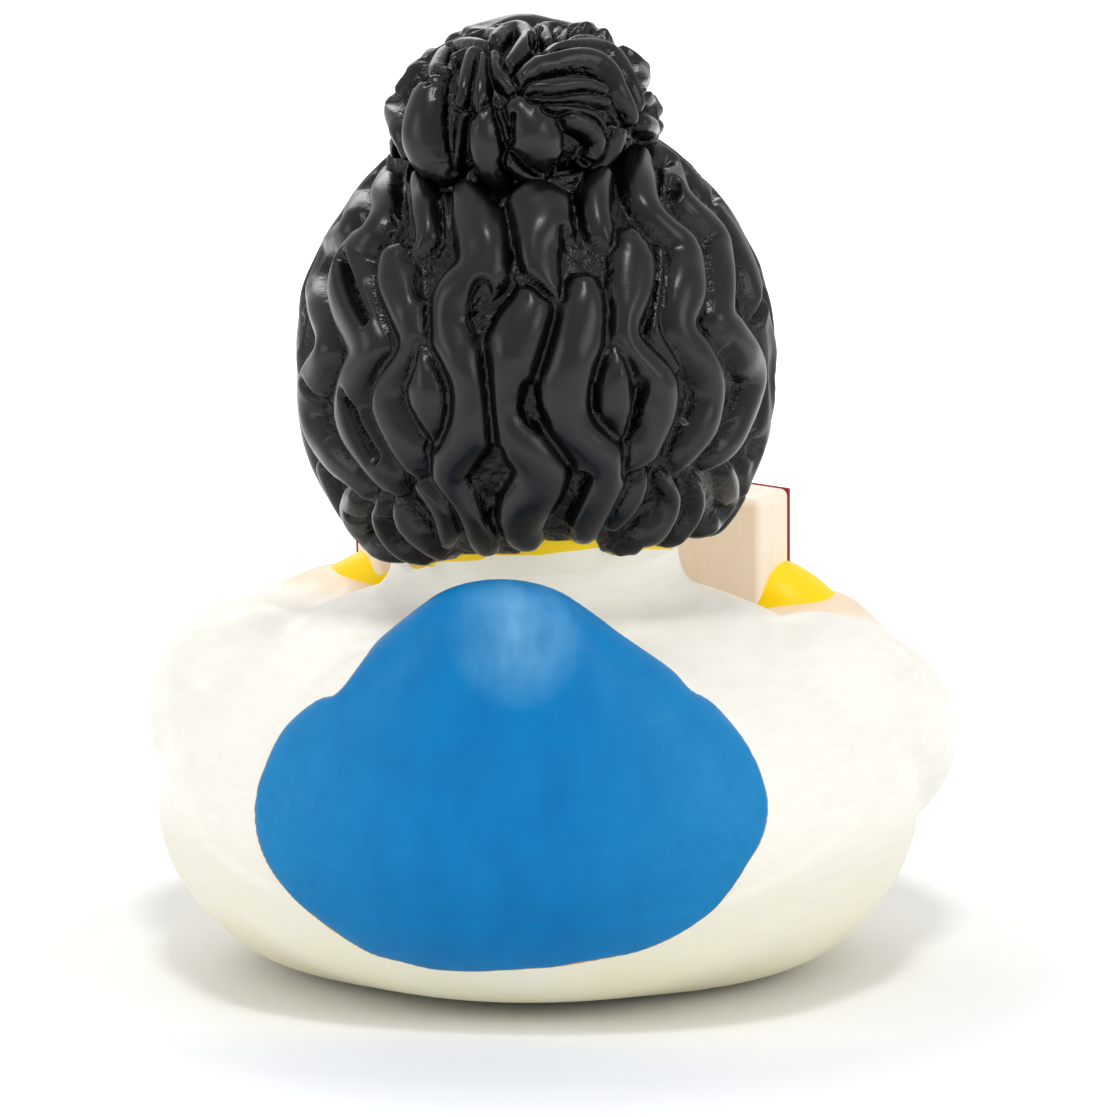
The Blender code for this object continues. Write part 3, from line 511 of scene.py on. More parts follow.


# Hair

# Each lock's middle line as drawn on the view: right and down in the drawing, then half the lock's width.
# The lines were traced from the photograph.
BACK_LOCKS = (
    ((372, 170, 15), (363, 200, 16), (357, 228, 16), (338, 247, 15), (326, 268, 14), (323, 290, 14),
     (326, 312, 14), (333, 335, 15), (333, 355, 17), (323, 375, 19), (317, 395, 18), (321, 420, 17),
     (330, 440, 17), (345, 460, 17), (360, 476, 15), (372, 489, 10)),
    ((306, 306, 10), (301, 330, 12), (301, 350, 12), (295, 372, 10)),
    ((342, 202, 12), (336, 226, 11)),
    ((331, 468, 12), (335, 495, 12), (343, 515, 12), (358, 535, 12), (380, 552, 9), (398, 564, 6)),
    ((392, 166, 11), (388, 185, 12), (388, 205, 13), (385, 222, 14), (376, 240, 16), (362, 253, 20),
     (355, 268, 23), (354, 285, 25), (358, 302, 26), (366, 320, 26), (375, 340, 26), (375, 357, 23),
     (366, 372, 21), (358, 388, 19), (355, 402, 19), (357, 415, 20), (363, 430, 21), (372, 445, 20),
     (383, 460, 19), (392, 474, 16), (400, 487, 10)),
    ((413, 168, 4), (408, 190, 4), (411, 215, 4), (414, 236, 4)),
    ((424, 178, 10), (425, 195, 12), (428, 212, 13), (430, 230, 12), (426, 246, 9), (416, 256, 6)),
    ((447, 196, 4), (449, 215, 5), (447, 234, 4)),
    ((397, 262, 15), (397, 280, 19), (403, 300, 20), (411, 320, 19), (416, 340, 15), (408, 360, 13),
     (394, 378, 14), (389, 395, 15), (392, 412, 17), (400, 428, 18), (409, 445, 17), (417, 460, 14),
     (423, 474, 8)),
    ((424, 350, 7), (428, 368, 14), (430, 385, 19), (432, 402, 18), (436, 420, 13), (438, 437, 6)),
    ((472, 193, 15), (475, 210, 19), (482, 228, 21), (487, 245, 22), (486, 262, 21), (478, 278, 20),
     (464, 290, 20), (453, 305, 18), (449, 322, 17), (452, 338, 18), (460, 354, 20), (468, 372, 20),
     (472, 390, 19), (473, 410, 20), (470, 428, 20), (461, 445, 19), (452, 460, 17), (449, 473, 15),
     (454, 487, 14), (465, 502, 13), (475, 517, 14), (483, 532, 14), (487, 546, 10)),
    ((533, 202, 20), (541, 214, 26), (537, 232, 23), (533, 250, 19), (536, 268, 17), (545, 284, 12),
     (555, 298, 6)),
    ((531, 298, 12), (532, 312, 18), (525, 330, 23), (516, 348, 25), (507, 368, 20), (504, 388, 16),
     (503, 408, 13), (508, 426, 14), (520, 442, 17), (534, 456, 19), (541, 470, 20), (539, 484, 20),
     (530, 498, 20), (522, 512, 19), (521, 526, 17), (529, 539, 12)),
    ((583, 290, 13), (584, 305, 18), (582, 322, 22), (576, 340, 24), (570, 360, 24), (567, 380, 22),
     (566, 400, 20), (569, 418, 19), (578, 434, 19), (592, 448, 19), (603, 462, 18), (603, 478, 18),
     (596, 495, 19), (589, 510, 18), (585, 524, 15), (583, 535, 10)),
    ((612, 350, 7), (615, 370, 17), (612, 390, 17), (612, 410, 15), (618, 431, 6)),
    ((600, 178, 10), (595, 195, 13), (594, 212, 13), (598, 230, 12), (605, 243, 7)),
    ((628, 243, 12), (631, 260, 18), (631, 280, 19), (627, 300, 17), (621, 320, 15), (621, 340, 15),
     (629, 355, 16), (641, 368, 17), (653, 383, 19), (657, 400, 18), (654, 418, 17), (647, 435, 15),
     (639, 450, 14), (628, 463, 9)),
    ((636, 160, 13), (637, 180, 15), (640, 200, 15), (649, 216, 14), (664, 231, 13), (680, 246, 15),
     (685, 262, 17), (684, 280, 19), (680, 300, 19), (676, 320, 16), (680, 338, 16), (690, 352, 17),
     (701, 368, 16), (706, 385, 15), (706, 402, 15), (700, 420, 16), (690, 438, 15), (680, 454, 12),
     (674, 466, 7)),
    ((659, 250, 4), (658, 275, 4), (655, 298, 5), (650, 320, 6), (654, 338, 7), (664, 352, 6),
     (674, 368, 5)),
    ((666, 160, 12), (669, 178, 15), (673, 196, 15), (686, 212, 14), (702, 226, 14), (714, 242, 14),
     (717, 262, 14), (717, 282, 14), (716, 302, 15), (715, 320, 18), (723, 334, 21), (735, 348, 20),
     (746, 364, 17), (749, 382, 15), (744, 400, 15), (736, 418, 15), (726, 436, 14), (715, 450, 13),
     (706, 461, 8)),
    ((697, 172, 12), (705, 190, 14), (713, 207, 14), (724, 222, 12), (735, 240, 12), (742, 258, 14),
     (748, 277, 17), (752, 297, 20), (756, 317, 20), (759, 337, 17), (765, 355, 13), (768, 375, 11),
     (765, 395, 11), (760, 413, 11), (753, 430, 10), (744, 446, 9)),
    ((731, 208, 10), (745, 234, 10), (756, 258, 10), (766, 282, 9)),
    ((742, 456, 12), (747, 478, 12), (744, 498, 11), (734, 515, 11), (722, 530, 10), (713, 544, 8),
     (708, 553, 4)),
    ((722, 468, 8), (726, 485, 11), (724, 500, 12), (715, 514, 11), (703, 527, 10), (692, 540, 6)),
    ((692, 480, 5), (696, 495, 7), (692, 510, 8), (685, 522, 9), (675, 534, 9), (666, 545, 5)),
    ((660, 476, 6), (669, 492, 8), (667, 505, 10), (659, 518, 13), (646, 530, 16), (631, 541, 13),
     (619, 549, 7)),
    ((640, 474, 6), (632, 492, 11), (622, 508, 11), (612, 522, 8)),
    ((362, 492, 12), (358, 507, 15), (362, 522, 15), (372, 536, 13), (388, 550, 11), (403, 561, 6)),
    ((386, 497, 8), (384, 512, 9), (388, 527, 10), (398, 541, 11), (412, 553, 10), (424, 562, 6)),
    ((403, 502, 8), (410, 519, 13), (423, 533, 14), (437, 546, 11), (444, 554, 6)),
    ((424, 482, 9), (438, 495, 12), (447, 510, 12), (450, 526, 11), (447, 541, 7)),
)
# Thin ridges that ring the bun's foot
RING_RIDGES = (
    ((442, 190, 3), (456, 187, 3), (470, 187, 4), (485, 193, 4), (498, 208, 3)),
    ((503, 202, 3), (520, 191, 4), (545, 181, 4), (565, 180, 4), (582, 174, 4), (596, 167, 4),
     (608, 172, 3)),
    ((418, 171, 3), (432, 179, 4), (446, 189, 3)),
)
# Hollows pressed into the locks and between them
HOLLOWS = (
    ((356, 264, 5), (361, 285, 7), (368, 305, 7), (377, 323, 5)),
    ((357, 392, 3), (363, 410, 5), (371, 430, 5), (384, 452, 6)),
    ((322, 384, 4), (327, 405, 5), (335, 432, 3)),
    ((346, 440, 2), (356, 452, 3)),
    ((485, 293, 10), (484, 315, 14), (482, 336, 9)),
    ((442, 250, 10), (430, 262, 9), (425, 280, 8), (427, 298, 5)),
    ((404, 170, 6), (405, 190, 3), (405, 215, 7), (407, 234, 5)),
    ((442, 208, 3), (444, 235, 4)),
    ((516, 248, 2), (516, 265, 4), (524, 280, 3), (540, 292, 2), (555, 303, 2)),
    ((564, 238, 6), (575, 250, 14), (584, 265, 12), (602, 270, 9)),
    ((575, 203, 5), (574, 225, 6)),
    ((614, 203, 6), (614, 220, 6)),
    ((654, 255, 2), (652, 295, 3), (645, 325, 3)),
    ((666, 190, 5), (668, 208, 5)),
    ((497, 452, 8), (489, 476, 14), (489, 500, 9), (492, 516, 4)),
    ((529, 388, 6), (530, 408, 9), (542, 424, 6)),
    ((582, 475, 6), (572, 495, 7), (563, 518, 6), (566, 531, 5)),
    ((591, 385, 3), (592, 410, 4)),
    ((637, 385, 4), (631, 422, 5)),
    ((652, 498, 7), (641, 511, 8), (628, 518, 6)),
    ((688, 490, 4), (680, 508, 5), (667, 529, 4)),
    ((712, 488, 6), (708, 504, 6), (699, 515, 4)),
    ((745, 290, 5), (748, 310, 6), (750, 334, 4)),
    ((718, 352, 5), (727, 368, 6), (732, 385, 5), (731, 403, 5)),
    ((685, 385, 4), (688, 405, 4), (683, 420, 3)),
    ((415, 500, 9), (430, 510, 7)),
    ((362, 510, 4), (371, 519, 4)),
    ((388, 515, 3), (397, 530, 4), (405, 539, 5)),
    ((302, 322, 5), (302, 342, 5)),
    ((692, 178, 4), (700, 195, 5), (703, 209, 3)),
    ((487, 184, 6), (505, 188, 9), (515, 185, 6)),
    ((670, 440, 5), (665, 458, 5)),
)
BUN_LOCKS = (
    ((418, 65, 8), (403, 66, 10), (392, 76, 12), (388, 90, 12), (391, 105, 12), (398, 120, 10),
     (406, 136, 8), (412, 152, 6)),
    ((399, 132, 5), (399, 152, 5)),
    ((430, 88, 11), (425, 102, 16), (424, 120, 18), (427, 138, 19), (436, 155, 18), (449, 168, 13)),
    ((452, 100, 5), (453, 120, 5), (456, 140, 5), (457, 149, 4)),
    ((464, 118, 5), (463, 145, 6), (464, 166, 5)),
    ((431, 80, 6), (432, 64, 6), (444, 51, 6), (463, 46, 6), (480, 49, 5)),
    ((422, 62, 6), (434, 46, 7), (455, 38, 6), (475, 35, 6), (490, 37, 5)),
    ((460, 32, 5), (480, 26, 6), (496, 23, 6), (506, 28, 4)),
    ((440, 75, 5), (448, 62, 5), (460, 56, 5)),
    ((466, 58, 7), (463, 75, 7), (461, 94, 7), (457, 106, 5)),
    ((476, 60, 5), (477, 78, 6), (477, 96, 7), (478, 112, 6)),
    ((487, 58, 5), (490, 72, 6), (498, 82, 6), (508, 92, 5)),
    ((486, 46, 8), (494, 37, 9), (509, 33, 9), (519, 40, 8), (512, 55, 8), (503, 68, 7)),
    ((527, 31, 5), (536, 37, 6), (541, 46, 5)),
    ((529, 35, 6), (536, 24, 7), (548, 18, 7), (562, 19, 6)),
    ((545, 40, 5), (553, 27, 5), (568, 18, 5), (585, 14, 5), (600, 17, 5), (612, 27, 5), (620, 40, 5)),
    ((549, 45, 5), (557, 34, 5), (572, 27, 5), (590, 27, 5), (605, 33, 5), (616, 47, 5)),
    ((552, 50, 5), (575, 42, 5), (598, 45, 5), (610, 55, 5), (620, 66, 5)),
    ((540, 60, 7), (556, 51, 8), (580, 49, 8), (600, 55, 8), (612, 66, 8), (620, 79, 8), (628, 92, 8),
     (633, 106, 7)),
    ((622, 47, 11), (632, 59, 13), (635, 75, 13), (631, 89, 9)),
    ((640, 97, 7), (649, 106, 7), (655, 120, 7)),
    ((653, 99, 7), (660, 109, 7), (660, 122, 6)),
    ((640, 124, 8), (651, 130, 8), (660, 142, 8), (668, 154, 6)),
    ((518, 82, 8), (529, 70, 9), (548, 64, 10), (570, 62, 10), (590, 67, 10), (604, 79, 10), (612, 93, 9),
     (621, 105, 8), (628, 118, 7)),
    ((528, 92, 7), (543, 91, 8), (562, 88, 8), (580, 88, 7), (598, 93, 6)),
    ((530, 102, 4), (552, 103, 4), (577, 100, 5), (602, 103, 5)),
    ((545, 110, 5), (575, 112, 5), (594, 119, 5), (604, 133, 4)),
    ((517, 113, 12), (529, 128, 18), (540, 146, 18), (545, 162, 12)),
    ((568, 119, 9), (585, 126, 9), (596, 138, 9), (596, 151, 8), (587, 160, 6)),
    ((482, 117, 9), (485, 135, 12), (489, 152, 12), (497, 168, 12), (507, 184, 9)),
    ((498, 114, 4), (504, 125, 4), (509, 138, 4)),
    ((614, 134, 9), (611, 150, 9), (601, 165, 7)),
    ((514, 160, 8), (530, 172, 8), (552, 172, 7)),
    ((478, 175, 7), (492, 186, 6)),
)
BUN_HOLLOWS = (
    ((402, 82, 5), (399, 100, 5), (404, 112, 3)),
    ((446, 100, 2), (449, 125, 2), (453, 150, 2)),
    ((468, 120, 2), (468, 150, 3), (469, 172, 3)),
    ((523, 44, 4), (525, 51, 5)),
    ((561, 40, 2), (580, 39, 2), (597, 41, 2)),
    ((546, 81, 2), (562, 81, 3), (580, 83, 2)),
    ((601, 113, 3), (612, 120, 6), (622, 126, 3)),
    ((571, 141, 3), (577, 153, 4), (589, 160, 3)),
    ((440, 60, 3), (446, 72, 4)),
    ((512, 118, 2), (512, 132, 2)),
    ((562, 155, 5), (552, 172, 4)),
    ((428, 85, 3), (432, 92, 2)),
    ((628, 90, 3), (638, 92, 2)),
    ((622, 140, 4), (640, 145, 3)),
)


def on_egg(across, above, middle, halves):
    """Directions to the points of an ellipsoid that show at places in the view; beyond it, to its outline."""
    eye = (VIEW_TARGET + VIEW_BACK * VIEW_DISTANCE - middle) / halves
    way = VIEW_LEFT * across[..., None] + VIEW_ABOVE * above[..., None] - VIEW_BACK * VIEW_DISTANCE
    way = way / halves
    square = (way * way).sum(-1)
    t = -(way @ eye) / square
    nearest = eye + way * t[..., None]
    inside = 1 - (nearest * nearest).sum(-1)
    t = t - np.sqrt(np.maximum(inside, 0) / square)
    q = eye + way * t[..., None]
    return q / np.linalg.norm(q, axis=-1, keepdims=True)


def smooth_path(knots, spacing):
    """A Catmull-Rom curve through the knots, with points at an even spacing."""
    knots = np.array(knots, float)
    padded = np.concatenate((2 * knots[:1] - knots[1:2], knots, 2 * knots[-1:] - knots[-2:-1]))
    t = np.linspace(0, 1, 12, endpoint=False)[None, :, None]
    a, b, c, d = (padded[i : len(padded) - 3 + i, None, :] for i in range(4))
    curve = 0.5 * (2 * b + (c - a) * t + (2 * a - 5 * b + 4 * c - d) * t**2 + (3 * b - a - 3 * c + d) * t**3)
    curve = np.concatenate((curve.reshape(-1, knots.shape[1]), knots[-1:]))
    length = np.concatenate(((0,), np.cumsum(np.linalg.norm(np.diff(curve[:, :3], axis=0), axis=1))))
    even = np.linspace(0, length[-1], max(6, int(length[-1] / spacing)))
    return np.stack([np.interp(even, length, curve[:, i]) for i in range(knots.shape[1])], -1)


def line_on(ways, middle, halves, half_width):
    """A middle line on an ellipsoid: evenly spaced points, and half the lock's width at each."""
    widths = np.broadcast_to(np.asarray(half_width, float), len(ways))
    path = smooth_path(np.concatenate((middle + ways * halves, widths[:, None]), -1), LINE_STEP)
    return path[:, :3], path[:, 3]


def drawn_lines(drawings, middle, halves):
    """Middle lines laid on an ellipsoid where they were drawn on the view."""
    lines = []
    for drawing in drawings:
        right, down, half_width = np.array(drawing, float).T
        ways = on_egg((DRAWN_MIDDLE - right) / 10, (DRAWN_MIDDLE - down) / 10, middle, halves + LOCK_BED)
        lines.append(line_on(ways, middle, halves, half_width / 10))
    return lines


def line_distance(flat, path, widths):
    """Each point's distance to a middle line over the line's half width there, and that half width."""
    reach = REACH * max(widths.max(), 1.0)
    best = np.full(len(flat), 9.0)
    local = np.ones(len(flat))
    for i in range(0, len(path) - 1, 8):
        box = path[i : i + 9]
        near = np.flatnonzero(((flat > box.min(0) - reach) & (flat < box.max(0) + reach)).all(1))
        a, b = box[:-1], box[1:]
        step = b - a
        off = flat[near, None] - a
        t = np.clip((off * step).sum(-1) / (step * step).sum(-1), 0, 1)
        w = widths[i : i + len(b)] * (1 - t) + widths[i + 1 : i + 1 + len(b)] * t
        gap = np.linalg.norm(off - t[..., None] * step, axis=-1) / w
        pick = gap.argmin(1)[:, None]
        gap, w = np.take_along_axis(gap, pick, 1)[:, 0], np.take_along_axis(w, pick, 1)[:, 0]
        closer = gap < best[near]
        best[near[closer]], local[near[closer]] = gap[closer], w[closer]
    return best, local


def nearest_lines(points, lines):
    """Each point's distances to the two nearest lines over their half widths, and the nearer's half width."""
    flat = points.reshape(-1, 3)
    first, second, width = np.full(len(flat), 9.0), np.full(len(flat), 9.0), np.ones(len(flat))
    for path, widths in lines:
        best, local = line_distance(flat, path, widths)
        front = best < first
        second = np.where(front, first, np.minimum(second, best))
        width = np.where(front, local, width)
        first = np.where(front, best, first)
    shape = points.shape[:-1]
    return first.reshape(shape), second.reshape(shape), width.reshape(shape)


def lock_height(first, second, width):
    """A round ridge over each middle line, meeting its neighbours half way in a sharp groove.

    With w the mean of the two distances, kept between the narrowest and widest share, the ridge is
    sqrt(width / 2 mm) (1 - (first / w)^2)^0.55, its first factor kept between 0.4 and 1.08. Where the
    neighbours stand too far off, a flat pocket is left.
    """
    w = np.clip((first + second) / 2, LOCK_NARROWEST, LOCK_WIDEST)
    tall = np.clip(np.sqrt(width / 2.0), 0.4, 1.08)
    return tall * np.maximum(1 - np.minimum(first / w, 1) ** 2, 0) ** 0.55


def pressed(points, hollows, middle, halves):
    """How deep a point lies in a hollow: (1 - d^2)^0.6 with d the distance over the hollow's half width."""
    flat = points.reshape(-1, 3)
    deepest = np.zeros(len(flat))
    for path, widths in drawn_lines(hollows, middle, halves):
        best, _ = line_distance(flat, path, widths)
        deepest = np.maximum(deepest, np.maximum(1 - best * best, 0) ** 0.6)
    return deepest.reshape(points.shape[:-1])


def lumps(p, size, seed):
    """A gentle unevenness, as of hand sculpting: the mean of three sines of about the given wavelength."""
    q = p * (2 * np.pi / size) + seed
    return (
        np.sin(q[..., 0] + 1.3 * np.sin(q[..., 2] * 0.7))
        + np.sin(q[..., 2] * 0.9 + 1.1 * np.sin(q[..., 1] * 0.8 + 2.0))
        + np.sin(q[..., 1] * 1.1 + 0.9 * np.sin(q[..., 0] * 0.6 + 4.0))
    ) / 3


def swinging_ways(turn, top, bottom, phase):
    """A path down the head at one turn, swinging from side to side as a sine of its height."""
    count = max(6, round((top - bottom) / 7))
    tilt = np.linspace(top, bottom, count)
    swing = 3.2 * np.sin(2 * np.pi * tilt / 38.0 + phase) / np.maximum(np.cos(np.radians(tilt)), 0.35)
    turn, tilt = np.radians(turn + swing), np.radians(tilt)
    return np.stack((np.sin(turn) * np.cos(tilt), np.cos(turn) * np.cos(tilt), np.sin(tilt)), -1)


def lock_lines():
    """Middle lines of all locks over the head."""
    lines = drawn_lines(BACK_LOCKS + RING_RIDGES, HEAD_MIDDLE, HEAD_HALVES)
    for side in (-1, 1):
        for i in range(SIDE_LOCKS):
            turn = side * (SIDE_FIRST + SIDE_PITCH * i)
            ways = swinging_ways(turn, 62.0, -42.0 + 7.0 * i, 0.5 * math.pi * side)
            lines.append(line_on(ways, HEAD_MIDDLE, HEAD_HALVES, PLAIN_LOCK_HALF_WIDTH))
    for i in range(BROW_LOCKS):
        place = i - BROW_LOCKS // 2
        ways = swinging_ways(180 + BROW_PITCH * place, 66.0, 30.0 - 0.9 * place * place, place)
        lines.append(line_on(ways, HEAD_MIDDLE, HEAD_HALVES, PLAIN_LOCK_HALF_WIDTH))
    return lines


def spread_turns(front, back):
    """Turns round the head, close together over the back half and wider apart over the face."""
    rear = np.linspace(-100, 100, back, endpoint=False)
    face = np.linspace(100, 260, front, endpoint=False)
    return np.radians(np.concatenate((rear, face)))


def ways_at(turn, tilt):
    """Directions by their turn to the right of straight behind and their tilt upwards."""
    return np.stack((-np.sin(turn) * np.cos(tilt), np.cos(turn) * np.cos(tilt), np.sin(tilt)), -1)


def ways_of(turns, tilts):
    return ways_at(*np.meshgrid(turns, tilts))


def eased(values, passes=1):
    """A grid's values averaged with their neighbours in the shares 1, 2, 1 both ways; the columns close."""
    for _ in range(passes):
        values = (np.roll(values, 1, 1) + 2 * values + np.roll(values, -1, 1)) / 4
        ends = np.concatenate((values[:1], values, values[-1:]))
        values = (ends[:-2] + 2 * values + ends[2:]) / 4
    return values


def outward(ways, halves):
    """The outward directions of an ellipsoid where the ways from its middle meet it."""
    out = ways / halves
    return out / np.linalg.norm(out, axis=-1, keepdims=True)


def sculpted(skin, lines, hollows, middle, halves, size, seed):
    """The height of the locks over a skin, 0 to about 1, with lumps of a size and the hollows pressed in."""
    height = eased(lock_height(*nearest_lines(skin, lines))) * (1 + 0.08 * lumps(skin, size, seed))
    hollow = eased(pressed(skin, hollows, middle, halves))
    return height * (1 - 0.85 * hollow) + 0.07 * hollow * lumps(skin, 1.1, seed + 1.0)


def hair_reach(skin, out, height):
    """How far inside the hair's edge a point lies: drawn at the nape, slanting past the face, level below."""
    across, above = seen_at(skin + out * 1.5)
    nape = above - drawn_height(HAIR_EDGE, across) + NAPE_DROP
    line = HEAD_MIDDLE[2] - HAIRLINE_DROP
    slant = math.cos(HAIRLINE_SLOPE), math.sin(HAIRLINE_SLOPE)
    sides = (skin[..., 1] + HAIRLINE_FORWARD) * slant[0] + (skin[..., 2] - line) * slant[1]
    sides = sides + 4.0 * np.clip(height * 3 - 0.8, 0, 1)
    return np.where(skin[..., 1] > 9, nape, np.minimum(sides, skin[..., 2] - line - 1.6))


def make_hair():
    """All locks of the head as one surface, raised from a bed just outside the head."""
    low, middle_rows, high = np.linspace(-75, -56, 5), np.linspace(-54, 72, 186), np.linspace(74, 88, 7)
    ways = ways_of(spread_turns(150, 350), np.radians(np.concatenate((low, middle_rows, high))))
    skin = HEAD_MIDDLE + ways * HEAD_HALVES
    out = outward(ways, HEAD_HALVES)
    height = sculpted(skin, lock_lines(), HOLLOWS, HEAD_MIDDLE, HEAD_HALVES, 6.0, 1.0)
    tips = hair_reach(skin, out, height)
    covered = np.sqrt(1 - (1 - np.clip(tips / LOCK_TIP, 0, 1)) ** 2)
    raised = CAP_THICKNESS + (LOCK_BED + LOCK_RADIUS - CAP_THICKNESS) * height
    raised = np.where(tips > 0, raised * covered, -0.7)
    closed_grid("hair", skin + out * raised[..., None], black_hair_paint(), {"ridge": height})


def bun_lines():
    """The bun's middle lines: drawn behind, and plain wavy coils in front."""
    lines = drawn_lines(BUN_LOCKS, BUN_MIDDLE, BUN_HALVES)
    for i, level in enumerate(BUN_COILS):
        turn = np.radians(np.linspace(106, 254, 14))
        tilt = np.radians(level + 7.0 * np.sin(3.0 * turn + 1.7 * i))
        lines.append(line_on(ways_at(turn, tilt), BUN_MIDDLE, BUN_HALVES, BUN_COIL_HALF_WIDTH))
    return lines


def make_bun():
    """The bun: an egg with its own locks, and a stem that joins it to the crown."""
    ways = ways_of(spread_turns(90, 330), np.radians(np.linspace(-75, 88, 236)))
    skin = BUN_MIDDLE + ways * BUN_HALVES
    height = sculpted(skin, bun_lines(), BUN_HOLLOWS, BUN_MIDDLE, BUN_HALVES, 5.0, 3.0)
    points = skin + outward(ways, BUN_HALVES) * (BUN_BED + BUN_LOCK_RADIUS * height)[..., None]
    points[..., 0] -= BUN_LEAN * (points[..., 2] - BUN_MIDDLE[2])
    closed_grid("bun", points, black_hair_paint(), {"ridge": height})
    crown = (HEAD_MIDDLE + (0, 0, 10), (HEAD_MIDDLE + BUN_MIDDLE) / 2 + (0, 0, 1), BUN_MIDDLE - (0, 0, 5.5))

    def field(p):
        return limb(p, crown, (BUN_STEM_RADIUS,) * 3)

    stem = outermost(field, BUN_MIDDLE - (0, 0, 7.0), sphere_ways(96, 60), 24.0)
    closed_grid("bun_stem", stem, black_hair_paint(), {"ridge": np.zeros(stem.shape[:2])})


# Book


def band_corners(near, far, reach):
    """The outline of an open book's band between two depths behind its spine, seen from above."""
    out = np.array((math.cos(BOOK_OPENING), math.sin(BOOK_OPENING)))
    inward = np.array((-out[1], out[0]))
    right_near, right_far = out * reach + inward * near, out * reach + inward * far
    flip = np.array((-1, 1))
    return [right_near, right_far, (0, far / out[0]), right_far * flip, right_near * flip, (0, near / out[0])]


def make_band(name, near, far, reach, height, rounding, finish):
    """One of the book's two bands, stood upright, leant back a little and rounded at its edges."""
    corners = np.array(band_corners(near, far, reach))
    n = len(corners)
    levels = np.array((-0.5, 0.5)) * height - BOOK_HEIGHT / 2
    points = np.array([(x, y, z) for z in levels for x, y in corners])
    points = points @ pitched(BOOK_LEAN) + (0, -BOOK_SPINE, BOOK_TOP)
    walls = [(i, (i + 1) % n, (i + 1) % n + n, i + n) for i in range(n)]
    # each lid is two four-sided leaves that meet at the gutter line
    lids = [(5, 4, 3, 2), (5, 2, 1, 0), (n + 2, n + 3, n + 4, n + 5), (n, n + 1, n + 2, n + 5)]
    piece = write_mesh(name, points, np.array(walls + lids), np.zeros((0, 3), int), finish)
    bevel = piece.modifiers.new("rounded_edges", "BEVEL")
    bevel.width = rounding * MM
    bevel.segments = 4
    bevel.limit_method = "ANGLE"
    bevel.angle_limit = math.radians(50)
    bevel.harden_normals = True


def make_book():
    """The block of cream pages and the dark red cover behind it, both in brushed enamel."""
    far = COVER_THICKNESS + PAGES_THICKNESS
    paper = brushed_enamel("brushed_enamel_paper", 0.55, "#faf0e1", "#f8ebd9", 1.2, (1.0, 1.0, 0.12))
    make_band("book_pages", COVER_THICKNESS / 2, far, BOOK_HALF_WIDTH, BOOK_HEIGHT, 0.8, paper)
    red = brushed_enamel("enamel_red", 0.42, "#94211f", "#9b2623", 2.5, (1.0, 1.0, 0.3))
    make_band("book_cover", 0.0, COVER_THICKNESS, BOOK_HALF_WIDTH, BOOK_HEIGHT, 0.2, red)


# Finishes


def colour(code):
    """An sRGB hex value as linear light."""
    values = [int(code[i : i + 2], 16) / 255 for i in (1, 3, 5)]
    return (*(v / 12.92 if v <= 0.04045 else ((v + 0.055) / 1.055) ** 2.4 for v in values), 1.0)


def add(tree, kind, links=None, **settings):
    """Adds a node, sets what is named, and fills its inputs with values or with other nodes' outputs."""
    made = tree.nodes.new(kind)
    for key, value in settings.items():
        setattr(made, key, value)
    for key, value in (links or {}).items():
        socket = made.inputs[key]
        if isinstance(value, bpy.types.NodeSocket):
            tree.links.new(value, socket)
        else:
            socket.default_value = value
    return made


def finish_of(name, roughness, **levels):
    """A new material with its shader, whose plain levels are set on the shader itself."""
    made = bpy.data.materials.get(name)
    if made:
        return made, None, None
    made = bpy.data.materials.new(name)
    made.use_nodes = True
    tree = made.node_tree
    shader = tree.nodes["Principled BSDF"]
    shader.inputs["Roughness"].default_value = roughness
    for key, value in levels.items():
        shader.inputs[key.replace("_", " ")].default_value = value
    return made, tree, shader


def blended(tree, factor, low, high):
    """A colour between two, by a factor."""
    return add(tree, "ShaderNodeMix", {0: factor, 6: low, 7: high}, data_type="RGBA").outputs[2]


def ranged(tree, value, low, high, to_low=0.0, to_high=1.0):
    """A value stretched from one range to another, and held at its ends."""
    return add(tree, "ShaderNodeMapRange", {0: value, 1: low, 2: high, 3: to_low, 4: to_high}).outputs[0]


def combined(tree, operation, first, second):
    """Two values put together by a sum, a product or the like."""
    return add(tree, "ShaderNodeMath", {0: first, 1: second}, operation=operation).outputs[0]


def named(tree, attribute):
    """What a piece carries at each point under a name."""
    return add(tree, "ShaderNodeAttribute", attribute_name=attribute).outputs["Fac"]


def noise(tree, scale_mm, detail, stretch=(1, 1, 1), roughness=0.5):
    """Noise whose lumps are about the given size across, read from the object's own metres."""
    place = add(tree, "ShaderNodeTexCoord").outputs["Object"]
    place = add(tree, "ShaderNodeMapping", {"Vector": place, "Scale": tuple(stretch)}).outputs[0]
    return add(
        tree, "ShaderNodeTexNoise",
        {"Vector": place, "Scale": 1000.0 / scale_mm, "Detail": detail, "Roughness": roughness},
    ).outputs["Fac"]


def bump(tree, height, distance_mm, strength, under=None):
    """A fine unevenness of the finish, over another one where that is given."""
    made = add(tree, "ShaderNodeBump", {"Height": height, "Distance": distance_mm * MM, "Strength": strength})
    if under is not None:
        tree.links.new(under, made.inputs["Normal"])
    return made.outputs["Normal"]


